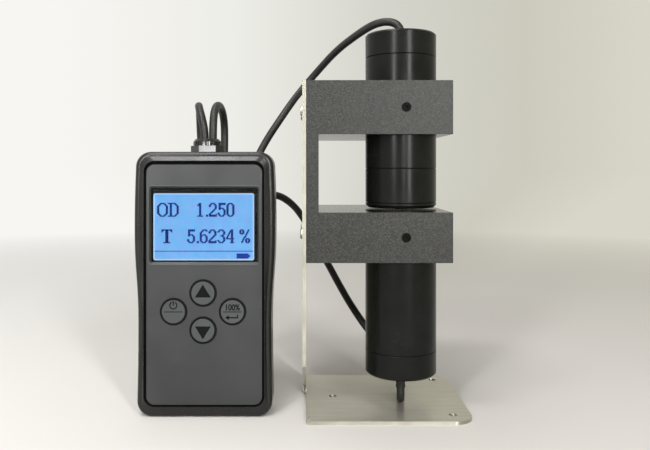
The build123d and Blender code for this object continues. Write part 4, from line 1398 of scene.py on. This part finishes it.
@dataclass
class Leads:
    """The two leads from the meter's gland to the heads."""

    receiver: Lead = field(default_factory=lambda: Lead("receiver_cable", "receiver_lead", [
        (-55.8, -19.25, 155.0), (-55.8, -19.25, 159.4), (-57.6, -18.8, 167.3), (-60.7, -11.0, 175.2),
        (-61.95, 1.2, 175.0), (-62.95, 9.8, 166.4), (-62.35, 11.4, 148.0), (-61.35, 12.2, 118.0),
        (-60.75, 13.0, 80.0), (-61.15, 13.2, 50.0), (-60.55, 13.4, 30.0), (-60.95, 13.6, 11.4),
        (-52.35, 14.0, 2.5), (-40.15, 14.2, 2.4), (-31.45, 14.0, 11.2), (-31.2, 13.6, 32.0),
        (-33.0, 14.2, 64.0), (-35.2, 15.0, 96.0), (-35.0, 16.2, 122.0), (-29.0, 18.4, 146.6),
        (-8.9, 27.4, 178.0), (-0.6, 42.0, 190.6), (10.2, 38.0, 202.6), (21.3, 20.0, 212.6),
        (33.0, 0.8, 218.8), (40.56, -10.84, 221.8), (46.2, -13.9, 223.0), (50.42, -16.19, 222.6),
        (53.41, -17.82, 221.2), (55.17, -18.77, 219.3), (56.05, -19.25, 217.0), (56.05, -19.25, 214.4)],
        length=0.530))
    source: Lead = field(default_factory=lambda: Lead("source_cable", "source_lead", [
        (-51.1, -19.25, 155.0), (-51.1, -19.25, 166.8), (-50.4, -10.9, 175.4), (-48.95, 1.4, 175.4),
        (-47.95, 10.0, 166.8), (-47.95, 10.4, 150.0), (-48.35, 6.6, 124.0), (-48.95, 4.2, 88.0),
        (-48.75, 3.6, 56.0), (-49.35, 3.4, 32.0), (-49.15, 3.6, 11.4), (-40.45, 3.6, 2.5),
        (-30.3, 3.4, 2.4), (-21.6, 3.8, 11.2), (-21.6, 4.2, 32.0), (-22.6, 3.8, 58.0),
        (-24.6, 3.9, 82.0), (-26.2, 4.6, 100.0), (-26.0, 8.2, 113.5), (-22.4, 14.4, 121.6),
        (-15.6, 22.4, 121.6), (-8.4, 31.6, 116.8), (-2.4, 45.6, 109.4), (4.0, 52.0, 98.6),
        (9.8, 52.8, 86.4), (17.2, 50.2, 73.6), (24.6, 44.0, 60.2), (31.8, 35.2, 48.6),
        (40.0, 27.0, 37.4), (49.2, 20.4, 26.8), (56.8, 14.6, 17.2), (60.0, 8.6, 9.4),
        (58.9, 1.0, 5.6), (57.7, -7.5, 4.6), (56.9, -12.7, 4.6), (56.5, -15.7, 5.8),
        (56.2, -18.0, 8.1), (56.05, -19.25, 11.0), (56.05, -19.25, 13.3)],
        length=0.552))
    rise_end: Point = (-8.9 * MM, 27.4 * MM, 178.0 * MM)

    def build(self) -> List[bpy.types.Object]:
        """Both leads: one fixed on the root, and one left on no body.

        Returns:
            The two pieces.
        """
        fixed = self.source.build()
        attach(fixed, Body.ROOT.value)
        moving = self.receiver.build()
        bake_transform(moving)
        return [fixed, moving]


# Studio

@dataclass
class Lamp:
    """A soft rectangular lamp that faces a point of the object."""

    name: str
    at: Point
    facing: Point
    width: float
    height: float
    power: float

    def build(self) -> None:
        """Hang the lamp and turn it to the point it faces."""
        data = bpy.data.lights.new(self.name, "AREA")
        data.shape = "RECTANGLE"
        data.size = self.width
        data.size_y = self.height
        data.energy = self.power
        lamp = bpy.data.objects.new(self.name, data)
        bpy.context.scene.collection.objects.link(lamp)
        lamp.location = self.at
        way = Vector(self.facing) - Vector(self.at)
        lamp.rotation_euler = way.to_track_quat("-Z", "Y").to_euler()
        lamp.visible_camera = False


@dataclass
class Studio:
    """Camera, floor, background and lamps."""

    camera_at: Point = (0.00205, -0.41325, 0.1373)
    lens: float = 38.2
    sensor: float = 36.0
    nearest: float = 0.01
    shift_x: float = 0.0292
    shift_y: float = -0.0846
    floor_reach: float = 30.0
    floor_sides: int = 96
    floor_fade: Tuple[float, float] = (0.25, 1.2)
    floor_colour: str = "BDBAB6"
    floor_cloud: str = "C1BEB9"
    floor_clouds: float = 3.0
    # Painted light: the floor's colour towards the left, paler where the light falls more strongly, and the
    # X range over which it takes over
    floor_painted_light: str = "DCDAD7"
    floor_light_turn: Tuple[float, float] = (0.05, -0.3)
    # The background's tones from left to right, paler to the left as the light falls; on the floor's glow
    # they are painted light.
    tone_turn: Tuple[float, float] = (-0.5, 0.5)
    tones: Sequence[Stop] = ((0.15, shade("F8F6F2")), (0.4, shade("EDEDE7")), (0.6, shade("D6D5CD")),
                             (0.8, shade("CCCABD")), (0.95, shade("D8D6C8")))
    world_light: float = 0.45
    lamps: Sequence[Lamp] = field(default_factory=lambda: [
        Lamp("left_strip", at=(-0.52, -1.08, 0.60), facing=(0.0, -0.03, 0.2),
             width=0.14, height=0.9, power=11.0),
        Lamp("right_strip", at=(0.46, -1.10, 0.50), facing=(0.056, -0.02, 0.16),
             width=0.13, height=0.9, power=12.5),
        Lamp("top_strip", at=(-0.22, -0.50, 1.15), facing=(-0.054, -0.03, 0.14),
             width=0.6, height=0.16, power=8.0),
        Lamp("overhead", at=(-0.20, 0.095, 1.15), facing=(-0.054, -0.03, 0.14),
             width=0.5, height=0.16, power=2.0),
        Lamp("gland_card", at=(0.11, -1.15, 0.19), facing=(-0.05, -0.03, 0.15),
             width=0.14, height=0.12, power=1.2),
    ])

    def build(self) -> None:
        """Set up the camera, the floor, the background and the lamps."""
        self.camera()
        self.floor()
        self.background()
        for lamp in self.lamps:
            lamp.build()
        bpy.context.scene.view_settings.view_transform = "Standard"

    def camera(self) -> None:
        """The camera, near the height of the meter's top and square to its face."""
        data = bpy.data.cameras.new("camera")
        data.lens = self.lens
        data.sensor_width = self.sensor
        data.shift_x = self.shift_x
        data.shift_y = self.shift_y
        data.clip_start = self.nearest
        data.clip_end = 2 * self.floor_reach
        made = bpy.data.objects.new("camera", data)
        made.location = self.camera_at
        made.rotation_euler = (math.pi / 2, 0, 0)
        bpy.context.scene.collection.objects.link(made)
        bpy.context.scene.camera = made

    def floor(self) -> None:
        """A pale floor, with painted light that makes it paler towards the left, that fades with distance
        into a painted glow in the background's tones.
        """
        bpy.ops.object.select_all(action="DESELECT")
        bpy.ops.mesh.primitive_circle_add(vertices=self.floor_sides, radius=self.floor_reach,
                                          fill_type="NGON")
        made = bpy.context.object
        made.name = "floor"
        material = new_material("pale_floor")
        graph = Graph(material.node_tree)
        place = graph.place()
        far = graph.node("ShaderNodeVectorMath", operation="LENGTH")
        graph.feed(place, far.inputs[0])
        share = graph.span(far.outputs["Value"], self.floor_fade, (0.0, 1.0))
        cloud = graph.noise(place, self.floor_clouds)
        near = graph.ramp(cloud, [(0.3, shade(self.floor_colour)), (0.7, shade(self.floor_cloud))])
        # Painted light: the floor turns paler towards the left, where the light falls more strongly.
        left = graph.span(graph.axis(place, "X"), self.floor_light_turn, (0.0, 1.0))
        ground = graph.blend(left, near, shade(self.floor_painted_light))
        graph.fit(Base_Color=ground, Roughness=0.7, Specular_IOR_Level=0.1)
        # Painted light: with distance the floor becomes an unlit glow in the background's tones, paler to
        # the left and darker to the right.
        glow = graph.node("ShaderNodeEmission")
        graph.feed(self.side_tone(graph, place), glow.inputs["Color"])
        mixer = graph.node("ShaderNodeMixShader")
        graph.feed(share, mixer.inputs[0])
        graph.feed(graph.shader.outputs[0], mixer.inputs[1])
        graph.feed(glow.outputs[0], mixer.inputs[2])
        graph.feed(mixer.outputs[0], graph.tree.nodes["Material Output"].inputs["Surface"])
        made.data.materials.append(material)

    def side_tone(self, graph: Graph, way: bpy.types.NodeSocket) -> bpy.types.NodeSocket:
        """The background's tone, paler to the left than to the right as the light falls: light in the
        world, and painted light in the floor's glow.

        Args:
            graph: The tree that it is laid in.
            way: A direction or a place on the floor.

        Returns:
            The colour.
        """
        flat = graph.node("ShaderNodeVectorMath", operation="MULTIPLY")
        graph.feed(way, flat.inputs[0])
        flat.inputs[1].default_value = (1, 1, 0)
        unit = graph.node("ShaderNodeVectorMath", operation="NORMALIZE")
        graph.feed(flat.outputs[0], unit.inputs[0])
        side = graph.span(graph.axis(unit.outputs[0], "X"), self.tone_turn, (0.0, 1.0))
        return graph.ramp(side, self.tones)

    def background(self) -> None:
        """A pale background, seen as it is and by gloss, and dimmer as light."""
        world = bpy.data.worlds.new("studio")
        world.use_nodes = True
        bpy.context.scene.world = world
        graph = Graph(world.node_tree)
        source = graph.node("ShaderNodeTexCoord")
        tone = self.side_tone(graph, source.outputs["Generated"])
        path = graph.node("ShaderNodeLightPath")
        seen = graph.maths("MAXIMUM", path.outputs["Is Camera Ray"], path.outputs["Is Glossy Ray"])
        seen = graph.maths("MAXIMUM", seen, path.outputs["Is Transmission Ray"])
        backing = graph.tree.nodes["Background"]
        graph.feed(tone, backing.inputs["Color"])
        graph.feed(graph.span(seen, (0, 1), (self.world_light, 1.0)), backing.inputs["Strength"])


def dress_nodes(frame: Dict[str, object]) -> None:
    """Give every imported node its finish.
    """
    for finish, names in NODE_FINISHES.items():
        finish.dress(*[frame["nodes"][name] for name in names])
        LOG.info("%s on %d nodes", finish.name, len(names))


def main() -> None:
    """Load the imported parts, then build, dress and light the object."""
    logging.basicConfig(level=logging.INFO, format="%(message)s")
    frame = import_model()
    Studio().build()
    dress_nodes(frame)
    pieces = [Stand().build(), Bracket().build(), *Display().build(), GrooveShadeRing().build(),
              *Symbols().build(), Gland().build(), Sleeve().build(), *Leads().build()]
    LOG.info("%d modelled pieces", len(pieces))
    bpy.context.view_layer.update()


if __name__ == "__main__":
    main()
